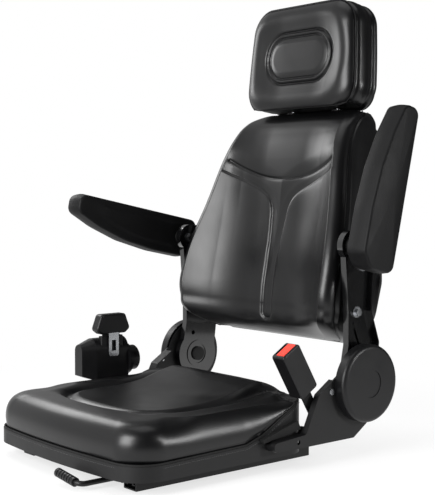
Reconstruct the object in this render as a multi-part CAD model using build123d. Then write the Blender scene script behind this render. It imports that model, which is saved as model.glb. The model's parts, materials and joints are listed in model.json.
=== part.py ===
from build123d import *
import os
from math import cos, radians, sin

# A high-backed tractor seat on a pair of slide rails, with a reclining back, a headrest, two folding
# armrests and a lap belt. Millimetres. +Z is up, the sitter faces -Y, and left is the sitter's left, +X.
# The origin is the middle of the rails' bolt pattern, on their underside.

# Running and seating clearances
RUN = 0.1
SEAT_GAP = 0.3
BORE_GAP = 0.05

# Slide rails
RAIL_SPACING = 350.0
RAIL_LENGTH = 427.0
RAIL_WIDTH = 38.0
RAIL_HEIGHT = 22.0
RAIL_SHEET = 2.5
RAIL_SLOT = 22.0
RAIL_BOLT_SPACING = 300.0
RAIL_BOLT_RADIUS = 4.5
UPPER_RAIL_TOP = 33.0
UPPER_RAIL_WEB = 18.0
UPPER_RAIL_FOOT = 28.0
UPPER_RAIL_FOOT_Z = 9.0
GLIDE_LENGTH = 30.0
GLIDE_OFFSET = 110.0
GLIDE_GRIP = 3.5
LATCH_SLOT = 7.0
LATCH_PITCH = 15.0
LATCH_COUNT = 9

# Seat pan and cushion
SEAT_WIDTH = 494.0
SEAT_FRONT = -266.0
SEAT_FRONT_BOW = 16.0
SEAT_FRONT_CORNER = 65.0
SEAT_REAR = 160.0
SEAT_REAR_CORNER = 45.0
PAN_SKIRT = 26.0
PAN_SHEET = 3.0
PAN_NOTCH_GAP = 1.0
PAN_BOLT_SPACING = 240.0
PAN_BOLT_RADIUS = 4.0
PAN_BOLT_HEAD = 13.0
PAN_BOLT_HEAD_HEIGHT = 5.5
PAN_BOLT_LENGTH = 18.0
TRIM_FRONT_Z = 56.0
TRIM_SIDE_Z = 60.0
TRIM_KNEE_Y = 40.0
TRIM_KNEE_Z = 73.0
TRIM_REAR_Y = 138.0
TRIM_REAR_Z = 128.0
TRIM_HEIGHT = 4.0
TRIM_RECESS = 1.0
CUSHION_TOP = 128.0
CUSHION_ROUND = 24.0
CUSHION_UNDER = 44.0
DISH_RADIUS = 560.0
DISH_DEPTH = 14.0
DISH_Y = -30.0
VALLEY_RADIUS = 26.0
VALLEY_DEPTH = 13.0
VALLEY_INSET = 135.0
VALLEY_FRONT = -140.0
VALLEY_CORNER = 70.0

# Side brackets and recliner
PIVOT_Y = 285.0
PIVOT_Z = 150.0
BRACKET_DEPTH = 24.0
BRACKET_SHEET = 4.0
BRACKET_LOBE = 72.0
BRACKET_FOOT_FRONT = 48.0
BRACKET_FOOT_Z = 42.0
BRACKET_FOOT_TOP = 60.0
BRACKET_FOOT_LENGTH = 214.0
BRACKET_SLOPE_Y = 130.0
BRACKET_SLOPE_Z = 66.0
BRACKET_TOP_Y = 165.0
BRACKET_TOP_Z = 138.0
BRACKET_NECK_Y = 57.0
BRACKET_NECK_Z = 28.0
BRACKET_HEEL_Y = 35.0
BRACKET_HEEL_Z = 70.0
BRACKET_CORNER = 8.0
BRACKET_HOLE_Y = 110.0
BRACKET_HOLE_Z = 54.0
BRACKET_HOLE_RADIUS = 4.5
ARM_SPACE_RADIUS = 82.0
COVER_RADIUS = 77.5
COVER_DEPTH = 25.0
COVER_WALL = 2.5
COVER_ROUND = 9.0
COVER_DIMPLE = 28.0
PIVOT_RADIUS = 8.0
PIVOT_HEAD_RADIUS = 16.0
PIVOT_HEAD = 5.0
PIVOT_NUT = 24.0
PIVOT_NUT_HEIGHT = 8.0
SCREW_AHEAD = 88.0
SCREW_BELOW = 9.0
SCREW_RADIUS = 6.0
SCREW_HEAD = 3.0

# Back arms
ARM_GAP = 3.0
ARM_SHEET = 3.0
ARM_FLANGE = 11.0
ARM_LOWER_RADIUS = 54.0
ARM_CORNER = 14.0
ARM_FOOT_HALF_WIDTH = 48.0
ARM_HALF_WIDTH = 34.0
ARM_NECK = 64.0
ARM_FLARE = 57.0
ARM_TOP_REAR = 22.0
ARM_LOBE_INSET = 20.0
ARM_LOBE_TOP = 28.0
ARM_BOLT_Y = 286.0
ARM_BOLT_Z = 289.0
ARM_BOLT_RADIUS = 5.0
ARM_BOLT_FLANGE = 11.0
ARM_BOLT_HEAD = 14.0
ARM_BOLT_HEAD_HEIGHT = 9.0
ARM_BOLT_FLANGE_HEIGHT = 2.5
ARM_BOLT_RISE = 92.0
ARM_RING_OUTER = 31.0
ARM_RING_INNER = 23.0
ARM_RING_PROUD = 2.0
ARM_WINDOW_RADIUS = 5.0
ARM_WINDOW_AHEAD = 13.0
ARM_WINDOW_ABOVE = 50.0
ARM_RIB_LENGTH = 54.0
ARM_RIB_WIDTH = 7.0
ARM_RIB_BELOW = 46.0
ARM_RIB_SPACING = 22.0
ARM_RIB_AHEAD = 8.0
ARM_RIB_LEAN_ANGLE = 18.0
ARM_RIB_SPLAY_ANGLE = 6.0
SPACER_RADIUS = 12.0
SPACER_DEPTH = 22.0

# Backrest
BACK_LEAN_ANGLE = 11.0
BACK_FOOT_Y = 262.0
BACK_FOOT_Z = 228.0
BACK_HEIGHT = 495.0
BACK_THICKNESS = 92.0
BACK_SIDE_GAP = 7.0
BACK_TOP_INSET = 62.0
BOLSTER_HEIGHT = 56.0
BOLSTER_TOP_HEIGHT = 14.0
BOLSTER_INSET = 34.0
BOLSTER_SLOPE = 82.0
BACK_SIDE_ROUND = 10.0
BACK_CORNER = 50.0
BACK_CORNER_STEP = 16.0
BACK_CORNER_SIDE = 14.0
BACK_FULL_V = 60.0
BACK_HIP_V = 134.0
BACK_WAIST_V = 297.0
BACK_WAIST_INSET = 31.0
BACK_FOOT_ROLL = 34.0
BACK_FOOT_STEP_ROLL = 10.0
BACK_TOP_CORNER = 36.0
BACK_TOP_STEP = 18.0
BACK_TOP_ROLL = 44.0
BACK_TOP_STEP_ROLL = 24.0
BOLSTER_FOOT_HEIGHT = 8.0
BOLSTER_STEP_HEIGHT = 39.0
BOLSTER_WAIST_HEIGHT = 35.0
SHELL_INSET = 14.0
SHELL_DEPTH = 14.0
SHELL_CORNER = 50.0
SHELL_ROUND = 10.0
SHELL_FOOT_INSET = 8.0
SHELL_EDGE = 28.0
BACK_TRIM = 7.0
GROOVE_WIDTH = 7.0
GROOVE_DEPTH = 4.0
GROOVE_EDGE = 28.0
GROOVE_ARC_DROP = 38.0
GROOVE_ARC_V = 372.0
STEM_HALF_WIDTH = 15.5
STEM_FOOT = 40.0
STEM_FLARE = 8.0
STEM_DROP = 100.0
BRANCH_DROP = 30.0
BRANCH_KNEE = 62.0
BRANCH_BEND = 24.0

# Headrest
HEAD_LEAN_ANGLE = 4.5
HEAD_SETBACK = 6.8
HEAD_OVERLAP = 5.7
HEAD_HEIGHT = 229.0
HEAD_HALF_WIDTH = 157.0
HEAD_TOP_HALF_WIDTH = 142.0
HEAD_CORNER = 42.0
HEAD_THICKNESS = 80.0
HEAD_ROUND = 24.0
HEAD_BACK = 12.0
HEAD_BACK_INSET = 10.0
HEAD_TRIM = 6.0
HEAD_GROOVE_HALF_WIDTH = 103.0
HEAD_GROOVE_HALF_HEIGHT = 57.0
HEAD_GROOVE_V = 118.0
HEAD_GROOVE_RADIUS = 3.0
HEAD_GROOVE_STEP = 9.0
POST_RADIUS = 6.0
POST_SPACING = 140.0
POST_DEPTH = 66.0
POST_LENGTH = 215.0
POST_IN_HEAD = 70.0
SLEEVE_WALL = 3.0
SLEEVE_LENGTH = 150.0
WELL_ROOM = 20.0
COLLAR_RADIUS = 15.0
COLLAR_HEIGHT = 4.0

# Armrests
ARMREST_Y = 263.0
ARMREST_Z = 423.0
ARMREST_STANDOFF = 30.0
ARMREST_WIDTH = 62.0
ARMREST_LENGTH = 289.0
ARMREST_TOP = 48.0
ARMREST_UNDER = 46.0
ARMREST_TIP = 44.0
ARMREST_TAIL = 48.0
ARMREST_ROUND = 13.0
ARMREST_CHIN = 64.0
ARMREST_CHIN_DEPTH = 68.0
ARMREST_BELLY_FRONT = 150.0
ARMREST_BELLY_RISE = 8.0
ARMREST_BELLY = 69.0
ARMREST_HEEL = 19.0
ARMREST_HEEL_RISE = 25.0
ARMREST_CORNER = 20.0
ARMREST_SWEEP = 150.0
ARMREST_DOWN_ANGLE = 11.5
ARMREST_SWING_ANGLE = 92.0
ARMREST_LOBE = 30.0
HUB_RADIUS = 18.0
ARMREST_PIN_RADIUS = 6.0
ARMREST_PIN_DEPTH = 45.0
ARMREST_PIN_HEAD = 19.0
ARMREST_PIN_HEAD_HEIGHT = 7.0

# Side spacers on the pan
BLOCK_DEPTH = 10.0
BLOCK_LEAD = 15.0
BLOCK_HEIGHT = 17.0
BLOCK_SLANT = 8.0
BLOCK_GAP = 1.0
BLOCK_REAR_GAP = 9.0
BLOCK_CORNER = 2.0

# Slide lever
LEVER_INBOARD = 45.0
LEVER_Z = 13.0
LEVER_RADIUS = 5.0
LEVER_REAR = -70.0
LEVER_FRONT = -290.0
LEVER_REACH = 68.0
LEVER_LIFT = 8.0
LEVER_BEND = 14.0
GRIP_RADIUS = 8.5
GRIP_LENGTH = 58.0
GRIP_GROOVES = 6
GRIP_GROOVE_WIDTH = 2.9
GRIP_GROOVE_DEPTH = 1.0
LUG_THICKNESS = 5.0
LUG_WIDTH = 24.0
LUG_FRONT = -195.0
LUG_REAR = -88.0
LATCH_LENGTH = 42.0
LATCH_SHEET = 4.0
LATCH_Y = -128.0
LATCH_GAP = 0.5
LATCH_TOOTH = 8.0

# Recline lever, on the right
RECLINE_BOSS = 18.0
RECLINE_SHEET = 6.0
RECLINE_REACH_Y = -110.0
RECLINE_REACH_Z = -60.0
RECLINE_WIDTH = 20.0
RECLINE_SHAFT = 6.0
KNOB_RADIUS = 12.0
KNOB_LENGTH = 38.0
KNOB_NECK = 8.0
KNOB_NECK_LENGTH = 6.0
KNOB_ROUND = 4.0

# Lap belt retractor, on the right
REEL_STANDOFF = 19.0
REEL_Z = 152.0
REEL_FRONT = 12.0
REEL_REAR = 96.0
REEL_HALF_WIDTH = 26.0
REEL_CROWN = 178.0
REEL_FOOT = 112.0
REEL_WALL = 2.5
REEL_SHEET = 3.0
REEL_BASE_Z = 118.0
CHEEK_TOP = 184.0
CHEEK_HALF_WIDTH = 18.0
DOME_LENGTH = 32.0
DOME_TAPER_ANGLE = 20.0
FLANGE_RADIUS = 36.0
FLANGE_DEPTH = 9.0
SENSOR_RADIUS = 28.0
SENSOR_DEPTH = 22.0
AXLE_RADIUS = 5.0
AXLE_OVERHANG = 9.0
AXLE_POCKET = 12.0
AXLE_POCKET_RADIUS = 7.0
DRUM_RADIUS = 9.0
ROLL_RADIUS = 17.0
BELT_WIDTH = 47.0
BELT_THICKNESS = 1.2
MOUTH_WIDTH = 58.0
MOUTH_DEPTH = 14.0
MOUTH_TOP = 209.0
MOUTH_SLOT = 3.0
MOUTH_SIDE_GAP = 1.0
MOUTH_ROUND = 4.0
TAB_EDGE = 8.0
TAB_WIDTH = 40.0
ANCHOR_RADIUS = 5.0
ANCHOR_HEAD = 17.0
ANCHOR_HEAD_HEIGHT = 7.0
TONGUE_GRIP_FOOT = 214.0
TONGUE_GRIP_HEIGHT = 44.0
TONGUE_GRIP_WIDTH = 90.0
TONGUE_GRIP_DEPTH = 26.0
TONGUE_GRIP_ROUND = 8.0
TONGUE_GRIP_EDGE = 5.0
TONGUE_WING = 10.0
TONGUE_WING_INSET = 13.0
TONGUE_WIDTH = 26.0
TONGUE_SHEET = 2.5
TONGUE_FOOT = 164.0
TONGUE_ROUND = 5.0
TONGUE_GAP = 1.5
TONGUE_EDGE = 12.0
TONGUE_SLOT = 11.0
TONGUE_SLOT_HEIGHT = 24.0

# Belt buckle, on the left
BUCKLE_LEAN_ANGLE = 31.0
BUCKLE_ANCHOR_Y = 172.0
BUCKLE_ANCHOR_Z = 98.0
BUCKLE_WIDTH = 48.0
BUCKLE_DEPTH = 34.0
BUCKLE_FOOT = 54.0
BUCKLE_HEIGHT = 100.0
BUCKLE_ROUND = 6.0
BUTTON_DEPTH = 14.0
BUTTON_WIDTH = 36.0
BUTTON_TRAVEL_ROOM = 12.0
BUTTON_PROUD = 1.0
BUTTON_SET = 11.0
BUTTON_WALL = 4.0
BUCKLE_LIP = 3.5
BUCKLE_SLOT_PLAY = 2.0
BUCKLE_SLOT_DEPTH = 30.0
STALK_WIDTH = 24.0
STALK_SHEET = 4.0
STALK_INTO = 26.0
STALK_GAP = 1.5
STUD_RADIUS = 9.0
STUD_HEAD = 6.0
NOTCH_AHEAD = 54.0
NOTCH_BEHIND = 68.0
NOTCH_BELOW = 20.0
NOTCH_GAP = 5.0

SIDES = {"left": 1, "right": -1}
HALF_SEAT = SEAT_WIDTH / 2
RAIL_X = RAIL_SPACING / 2
PAN_FLOOR = UPPER_RAIL_TOP + PAN_SHEET
WEB_INNER = HALF_SEAT + BRACKET_DEPTH - BRACKET_SHEET
WEB_OUTER = HALF_SEAT + BRACKET_DEPTH
ARM_INNER = HALF_SEAT + ARM_GAP
ARM_FACE = ARM_INNER + ARM_SHEET
ARMREST_INNER = ARM_FACE + ARMREST_STANDOFF
VALLEY_HALF_WIDTH = HALF_SEAT - VALLEY_INSET
BACK_HALF_WIDTH = HALF_SEAT - BACK_SIDE_GAP
BACK_WAIST_HALF_WIDTH = BACK_HALF_WIDTH - BACK_WAIST_INSET
BACK_TOP_HALF_WIDTH = BACK_HALF_WIDTH - BACK_TOP_INSET
GROOVE_REACH = BACK_TOP_HALF_WIDTH - GROOVE_EDGE
COVER_OUTER = WEB_OUTER + COVER_DEPTH
REEL_X = -WEB_OUTER - REEL_STANDOFF
BACK = Plane(
    origin=(0, BACK_FOOT_Y, BACK_FOOT_Z),
    x_dir=(1, 0, 0),
    z_dir=(0, -cos(radians(BACK_LEAN_ANGLE)), sin(radians(BACK_LEAN_ANGLE))),
)
HEAD = Plane(
    origin=BACK.from_local_coords((0, BACK_HEIGHT - HEAD_OVERLAP, -HEAD_SETBACK)),
    x_dir=(1, 0, 0),
    z_dir=(0, -cos(radians(HEAD_LEAN_ANGLE)), sin(radians(HEAD_LEAN_ANGLE))),
)


def rounded(points, radius):
    """Filled outline through the points, with every corner rounded."""
    return make_face(FilletPolyline(*points, radius=radius, close=True))


def plate_x(outline, x_start, thickness):
    """Plate cut to an outline in Y and Z, from x_start outwards along X."""
    return extrude(Plane.YZ.offset(x_start) * outline, amount=thickness)


def rod_x(x_start, x_end, y, z, radius):
    """Round bar along X."""
    return plate_x(Pos(y, z) * Circle(radius), x_start, x_end - x_start)


def hex_x(x_start, x_end, y, z, across):
    """Hexagonal bar along X, by its width across flats."""
    outline = RegularPolygon(across / 2, 6, major_radius=False)
    return plate_x(Pos(y, z) * outline, x_start, x_end - x_start)


def turned_x(points, y, z):
    """Solid turned about an axis along X through (y, z); the points are (x, radius)."""
    plane = Plane(origin=(0, y, z), x_dir=(1, 0, 0), z_dir=(0, -1, 0))
    return revolve(plane * make_face(Polyline(*points, close=True)), Axis((0, y, z), (1, 0, 0)))


def box(x0, x1, y0, y1, z0, z1):
    """Box between two corners."""
    return Pos((x0 + x1) / 2, (y0 + y1) / 2, (z0 + z1) / 2) * Box(x1 - x0, y1 - y0, z1 - z0)


def on_side(shape, side):
    """Shape made for the left, mirrored for the right."""
    return shape if side > 0 else mirror(shape, about=Plane.YZ)


# Slide rails
def lower_rail():
    """Folded channel with inturned lips, bolt holes in its floor and latch slots in its inner wall."""
    half = RAIL_HEIGHT / 2
    section = Pos(0, half) * Rectangle(RAIL_WIDTH, RAIL_HEIGHT)
    section -= Pos(0, half) * Rectangle(RAIL_WIDTH - 2 * RAIL_SHEET, RAIL_HEIGHT - 2 * RAIL_SHEET)
    section -= Pos(0, RAIL_HEIGHT) * Rectangle(RAIL_SLOT, 4 * RAIL_SHEET)
    rail = extrude(Plane.XZ * section, amount=RAIL_LENGTH / 2, both=True)
    for end in (-1, 1):
        rail -= Pos(0, end * RAIL_BOLT_SPACING / 2, 0) * Cylinder(RAIL_BOLT_RADIUS, 4 * RAIL_SHEET)
    wall = -RAIL_WIDTH / 2 + RAIL_SHEET / 2
    for i in range(LATCH_COUNT):
        y = LATCH_Y + (i - (LATCH_COUNT - 1) / 2) * LATCH_PITCH
        rail -= Pos(wall, y, half) * Box(2 * RAIL_SHEET, LATCH_SLOT, LATCH_SLOT)
    return Pos(RAIL_X, 0, 0) * rail


def upper_rail():
    """Folded hat section that runs inside the lower rail and stands up through its slot."""
    height = UPPER_RAIL_TOP - UPPER_RAIL_FOOT_Z
    section = Pos(0, UPPER_RAIL_FOOT_Z + height / 2) * Rectangle(UPPER_RAIL_WEB, height)
    section += Pos(0, UPPER_RAIL_FOOT_Z + RAIL_SHEET / 2) * Rectangle(UPPER_RAIL_FOOT, RAIL_SHEET)
    hollow = height - RAIL_SHEET
    section -= Pos(0, UPPER_RAIL_FOOT_Z + hollow / 2) * Rectangle(UPPER_RAIL_WEB - 2 * RAIL_SHEET, hollow)
    rail = extrude(Plane.XZ * section, amount=RAIL_LENGTH / 2, both=True)
    for end in (-1, 1):
        hole = Cylinder(PAN_BOLT_RADIUS + RUN, 4 * RAIL_SHEET)
        rail -= Pos(0, end * PAN_BOLT_SPACING / 2, UPPER_RAIL_TOP) * hole
    return Pos(RAIL_X, 0, 0) * rail


def rail_glides():
    """Four nylon shoes that clip on the feet of the upper rail and bear on the channel."""
    outer = RAIL_WIDTH / 2 - RAIL_SHEET - RUN
    inner = UPPER_RAIL_FOOT / 2 - GLIDE_GRIP
    low = RAIL_SHEET + RUN
    high = RAIL_HEIGHT - RAIL_SHEET - RUN
    shoe = Pos((inner + outer) / 2, (low + high) / 2) * Rectangle(outer - inner, high - low)
    shoe -= Pos(0, UPPER_RAIL_FOOT_Z + RAIL_SHEET / 2) * Rectangle(UPPER_RAIL_FOOT, RAIL_SHEET)
    glide = extrude(Plane.XZ * shoe, amount=GLIDE_LENGTH / 2, both=True)
    pair = [glide, mirror(glide, about=Plane.YZ)]
    return [Pos(RAIL_X, end * GLIDE_OFFSET, 0) * one for end in (-1, 1) for one in pair]


# Seat pan and cushion
def seat_outline():
    """Plan of the seat: straight sides, a gently bowed front and rounded corners."""
    shoulder = SEAT_FRONT + SEAT_FRONT_BOW
    front = ThreePointArc((-HALF_SEAT, shoulder), (0, SEAT_FRONT), (HALF_SEAT, shoulder))
    sides = Polyline(
        (HALF_SEAT, shoulder),
        (HALF_SEAT, SEAT_REAR),
        (-HALF_SEAT, SEAT_REAR),
        (-HALF_SEAT, shoulder),
    )
    plan = make_face([front, sides])
    plan = fillet(plan.vertices().sort_by(Axis.Y)[:2], SEAT_FRONT_CORNER)
    return fillet(plan.vertices().sort_by(Axis.Y)[-2:], SEAT_REAR_CORNER)


def under_trim_line(shift):
    """Everything below the trim line, which runs level along the front and climbs at the rear."""
    far = 2 * SEAT_WIDTH
    points = [
        (-far, -far),
        (-far, TRIM_FRONT_Z + shift),
        (SEAT_FRONT + SEAT_FRONT_CORNER, TRIM_FRONT_Z + shift),
        (0, TRIM_SIDE_Z + shift),
        (TRIM_KNEE_Y, TRIM_KNEE_Z + shift),
        (TRIM_REAR_Y, TRIM_REAR_Z + shift),
        (far, TRIM_REAR_Z + shift),
        (far, -far),
    ]
    return plate_x(make_face(Polyline(*points, close=True)), -far, 2 * far)


def tall(outline, z0, z1):
    """Outline in X and Y carried from z0 up to z1."""
    return extrude(Pos(0, 0, z0) * outline, amount=z1 - z0)


def seat_pan():
    """Pressed tray: a floor on the rails, a skirt below it and a rim that climbs at the rear."""
    outline = seat_outline()
    inside = offset(outline, amount=-PAN_SHEET)
    pan = tall(outline, PAN_SKIRT, CUSHION_TOP) & under_trim_line(-TRIM_HEIGHT / 2)
    pan -= tall(inside, PAN_FLOOR, 2 * CUSHION_TOP)
    pan -= tall(inside, 0, UPPER_RAIL_TOP)
    notch = UPPER_RAIL_WEB / 2 + PAN_NOTCH_GAP
    for x in (-RAIL_X, RAIL_X):
        pan -= box(x - notch, x + notch, 0, 2 * SEAT_REAR, 0, UPPER_RAIL_TOP)
    for x, y in pan_bolt_places():
        pan -= Pos(x, y, PAN_FLOOR) * Cylinder(PAN_BOLT_RADIUS + RUN, 4 * PAN_SHEET)
    return pan


def pan_bolt_places():
    """Where the pan is bolted to the rails."""
    return [(sx * RAIL_X, sy * PAN_BOLT_SPACING / 2) for sx in (-1, 1) for sy in (-1, 1)]


def pan_bolts():
    """Hexagon bolts that hold the pan down on the upper rails."""
    bolts = []
    for x, y in pan_bolt_places():
        head = RegularPolygon(PAN_BOLT_HEAD / 2, 6, major_radius=False)
        bolt = extrude(Pos(x, y, PAN_FLOOR) * head, amount=PAN_BOLT_HEAD_HEIGHT)
        bolt += extrude(Pos(x, y, PAN_FLOOR) * Circle(PAN_BOLT_RADIUS), amount=-PAN_BOLT_LENGTH)
        bolts.append(bolt)
    return bolts


def seat_trim():
    """Edging strip that covers the joint between the pan and the cushion."""
    outline = seat_outline()
    ring = offset(outline, amount=-TRIM_RECESS) - offset(outline, amount=-PAN_SHEET)
    strip = tall(ring, PAN_SKIRT, 2 * CUSHION_TOP)
    return (strip & under_trim_line(TRIM_HEIGHT / 2)) - under_trim_line(-TRIM_HEIGHT / 2)


def seat_cushion():
    """Moulded cushion: dished seat with a valley round it, and a plug that drops into the pan."""
    outline = seat_outline()
    top = tall(outline, CUSHION_UNDER, CUSHION_TOP)
    top = fillet(top.faces().sort_by(Axis.Z)[-1].edges(), CUSHION_ROUND)
    top -= under_trim_line(TRIM_HEIGHT / 2)
    inside = offset(outline, amount=-PAN_SHEET - SEAT_GAP)
    plug = tall(inside, CUSHION_UNDER, CUSHION_TOP - CUSHION_ROUND)
    cushion = top + plug
    dish_z = CUSHION_TOP - DISH_DEPTH + DISH_RADIUS
    cushion -= Pos(0, DISH_Y, dish_z) * Sphere(DISH_RADIUS)
    far = 2 * SEAT_REAR
    route = FilletPolyline(
        (-VALLEY_HALF_WIDTH, far),
        (-VALLEY_HALF_WIDTH, VALLEY_FRONT),
        (VALLEY_HALF_WIDTH, VALLEY_FRONT),
        (VALLEY_HALF_WIDTH, far),
        radius=VALLEY_CORNER,
    )
    height = CUSHION_TOP - VALLEY_DEPTH + VALLEY_RADIUS
    cutter = Plane.XZ.offset(-far) * Pos(-VALLEY_HALF_WIDTH, 0) * Circle(VALLEY_RADIUS)
    return cushion - Pos(0, 0, height) * sweep(cutter, route)


def side_block():
    """Rubber spacer on the side of the pan, between the trim and the foot of the bracket."""
    front = BRACKET_FOOT_FRONT - BLOCK_LEAD
    rear = BRACKET_SLOPE_Y
    share = front / TRIM_KNEE_Y
    trim = TRIM_SIDE_Z + share * (TRIM_KNEE_Z - TRIM_SIDE_Z) - TRIM_HEIGHT / 2
    low = BRACKET_SLOPE_Z + BLOCK_REAR_GAP
    points = [
        (front, BRACKET_FOOT_TOP),
        (front, trim - BLOCK_GAP),
        (rear - BLOCK_SLANT, low + BLOCK_HEIGHT),
        (rear, low),
    ]
    return plate_x(rounded(points, BLOCK_CORNER), HALF_SEAT, BLOCK_DEPTH)


# Side brackets and recliner
def bracket_outline():
    """Side view of the bracket: a low foot, a sloping front and a round lobe about the pivot."""
    points = [
        (BRACKET_FOOT_FRONT, BRACKET_FOOT_Z),
        (BRACKET_FOOT_FRONT, BRACKET_FOOT_TOP),
        (BRACKET_SLOPE_Y, BRACKET_SLOPE_Z),
        (BRACKET_TOP_Y, BRACKET_TOP_Z),
        (PIVOT_Y - BRACKET_NECK_Y, PIVOT_Z + BRACKET_NECK_Z),
        (PIVOT_Y, PIVOT_Z + BRACKET_NECK_Z),
        (PIVOT_Y + BRACKET_HEEL_Y, PIVOT_Z - BRACKET_HEEL_Z),
        (BRACKET_FOOT_FRONT + BRACKET_FOOT_LENGTH, BRACKET_FOOT_Z),
    ]
    return rounded(points, BRACKET_CORNER) + Pos(PIVOT_Y, PIVOT_Z) * Circle(BRACKET_LOBE)


def side_bracket():
    """Pressed channel: an outer web with flanges turned in to the pan, open above for the back arm."""
    outline = bracket_outline()
    bracket = plate_x(outline, HALF_SEAT, BRACKET_DEPTH)
    bracket -= plate_x(offset(outline, amount=-BRACKET_SHEET), HALF_SEAT, BRACKET_DEPTH - BRACKET_SHEET)
    bracket -= rod_x(0, WEB_INNER, PIVOT_Y, PIVOT_Z, ARM_SPACE_RADIUS)
    bracket -= rod_x(0, COVER_OUTER, PIVOT_Y, PIVOT_Z, PIVOT_RADIUS + BORE_GAP)
    bracket -= rod_x(0, COVER_OUTER, BRACKET_HOLE_Y, BRACKET_HOLE_Z, BRACKET_HOLE_RADIUS)
    bracket -= rod_x(0, COVER_OUTER, *screw_place(), SCREW_RADIUS / 2)
    return bracket


def screw_place():
    """Where the screw beside the recliner cover stands, as (y, z)."""
    return (PIVOT_Y - SCREW_AHEAD, PIVOT_Z - SCREW_BELOW)


def bracket_screws():
    """Bright round-headed screw beside each recliner cover."""
    screw = rod_x(WEB_OUTER, WEB_OUTER + SCREW_HEAD, *screw_place(), SCREW_RADIUS)
    screw += rod_x(WEB_INNER, WEB_OUTER, *screw_place(), SCREW_RADIUS / 2 - BORE_GAP)
    return [on_side(screw, side) for side in SIDES.values()]


def recliner_cap(inset):
    """Round-edged disc that the recliner cover is shelled from."""
    disc = rod_x(WEB_OUTER, COVER_OUTER - inset, PIVOT_Y, PIVOT_Z, COVER_RADIUS - inset)
    rim = disc.faces().sort_by(Axis.X)[-1].edges()
    return fillet(rim, COVER_ROUND - inset)


def recliner_cover():
    """Round moulded cap over the recliner, open towards the bracket, with a shallow dimple."""
    cover = recliner_cap(0) - recliner_cap(COVER_WALL)
    return cover - rod_x(COVER_OUTER - COVER_WALL / 2, COVER_OUTER, PIVOT_Y, PIVOT_Z, COVER_DIMPLE)


def recliner_pin():
    """Headed pivot pin through the back arm and the bracket, with its nut under the cover."""
    head = ARM_INNER - RUN
    pin = rod_x(head - PIVOT_HEAD, head, PIVOT_Y, PIVOT_Z, PIVOT_HEAD_RADIUS)
    pin += rod_x(head, WEB_OUTER, PIVOT_Y, PIVOT_Z, PIVOT_RADIUS)
    pin += hex_x(WEB_OUTER, WEB_OUTER + PIVOT_NUT_HEIGHT, PIVOT_Y, PIVOT_Z, PIVOT_NUT)
    return pin


def recliner_bush():
    """Distance sleeve on the pin, between the back arm and the bracket."""
    sleeve = rod_x(ARM_FACE + RUN, WEB_INNER, PIVOT_Y, PIVOT_Z, PIVOT_HEAD_RADIUS)
    return sleeve - rod_x(0, WEB_OUTER, PIVOT_Y, PIVOT_Z, PIVOT_RADIUS + BORE_GAP)


# Back arms
def arm_bolt_places():
    """Where each arm is bolted to the backrest, as (y, z), one above the other along its lean."""
    slope = sin(radians(BACK_LEAN_ANGLE)) / cos(radians(BACK_LEAN_ANGLE))
    upper = (ARM_BOLT_Y + ARM_BOLT_RISE * slope, ARM_BOLT_Z + ARM_BOLT_RISE)
    return [(ARM_BOLT_Y, ARM_BOLT_Z), upper]


def arm_outline():
    """Side view of the back arm: round at the recliner, waisted, with a lobe for the armrest pivot."""
    (_, _), (top_y, top_z) = arm_bolt_places()
    neck = ARM_BOLT_Z - ARM_NECK
    points = [
        (PIVOT_Y - ARM_FOOT_HALF_WIDTH, PIVOT_Z),
        (ARM_BOLT_Y - ARM_HALF_WIDTH, neck),
        (ARM_BOLT_Y - ARM_HALF_WIDTH, ARM_BOLT_Z),
        (ARMREST_Y - ARM_LOBE_INSET, ARMREST_Z - ARM_LOBE_INSET),
        (ARMREST_Y, ARMREST_Z + ARM_LOBE_TOP),
        (top_y, ARMREST_Z + ARM_LOBE_TOP),
        (top_y + ARM_TOP_REAR, ARMREST_Z),
        (top_y + ARM_TOP_REAR, top_z),
        (ARM_BOLT_Y + ARM_HALF_WIDTH, ARM_BOLT_Z),
        (ARM_BOLT_Y + ARM_FLARE, neck),
        (PIVOT_Y + ARM_FOOT_HALF_WIDTH, PIVOT_Z),
    ]
    outline = rounded(points, ARM_CORNER)
    outline += Pos(PIVOT_Y, PIVOT_Z) * Circle(ARM_LOWER_RADIUS)
    return outline + Pos(ARMREST_Y, ARMREST_Z) * Circle(ARMREST_LOBE)


def back_arm():
    """Pressed steel arm: a plate with a turned-out flange, two stiffening ribs and a stamped ring."""
    outline = arm_outline()
    arm = plate_x(outline, ARM_INNER, ARM_SHEET + ARM_FLANGE)
    arm -= plate_x(offset(outline, amount=-ARM_SHEET), ARM_FACE, 2 * ARM_FLANGE)
    ring = Circle(ARM_RING_OUTER) - Circle(ARM_RING_INNER)
    arm += plate_x(Pos(PIVOT_Y, PIVOT_Z) * ring, ARM_INNER - ARM_RING_PROUD, ARM_RING_PROUD)
    for side in SIDES.values():
        y = ARM_BOLT_Y - ARM_RIB_AHEAD + side * ARM_RIB_SPACING / 2
        turn = 90 + ARM_RIB_LEAN_ANGLE + side * ARM_RIB_SPLAY_ANGLE
        rib = Rot(0, 0, turn) * SlotOverall(ARM_RIB_LENGTH, ARM_RIB_WIDTH)
        arm += plate_x(Pos(y, ARM_BOLT_Z - ARM_RIB_BELOW) * rib, ARM_FACE, ARM_SHEET)
    arm -= rod_x(0, WEB_OUTER, PIVOT_Y, PIVOT_Z, PIVOT_RADIUS + BORE_GAP)
    window = (PIVOT_Y - ARM_WINDOW_AHEAD, PIVOT_Z + ARM_WINDOW_ABOVE)
    arm -= rod_x(0, WEB_OUTER, *window, ARM_WINDOW_RADIUS)
    arm -= rod_x(0, WEB_OUTER, ARMREST_Y, ARMREST_Z, ARMREST_PIN_RADIUS + BORE_GAP)
    for y, z in arm_bolt_places():
        arm -= rod_x(0, WEB_OUTER, y, z, ARM_BOLT_RADIUS + RUN)
    return arm


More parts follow.
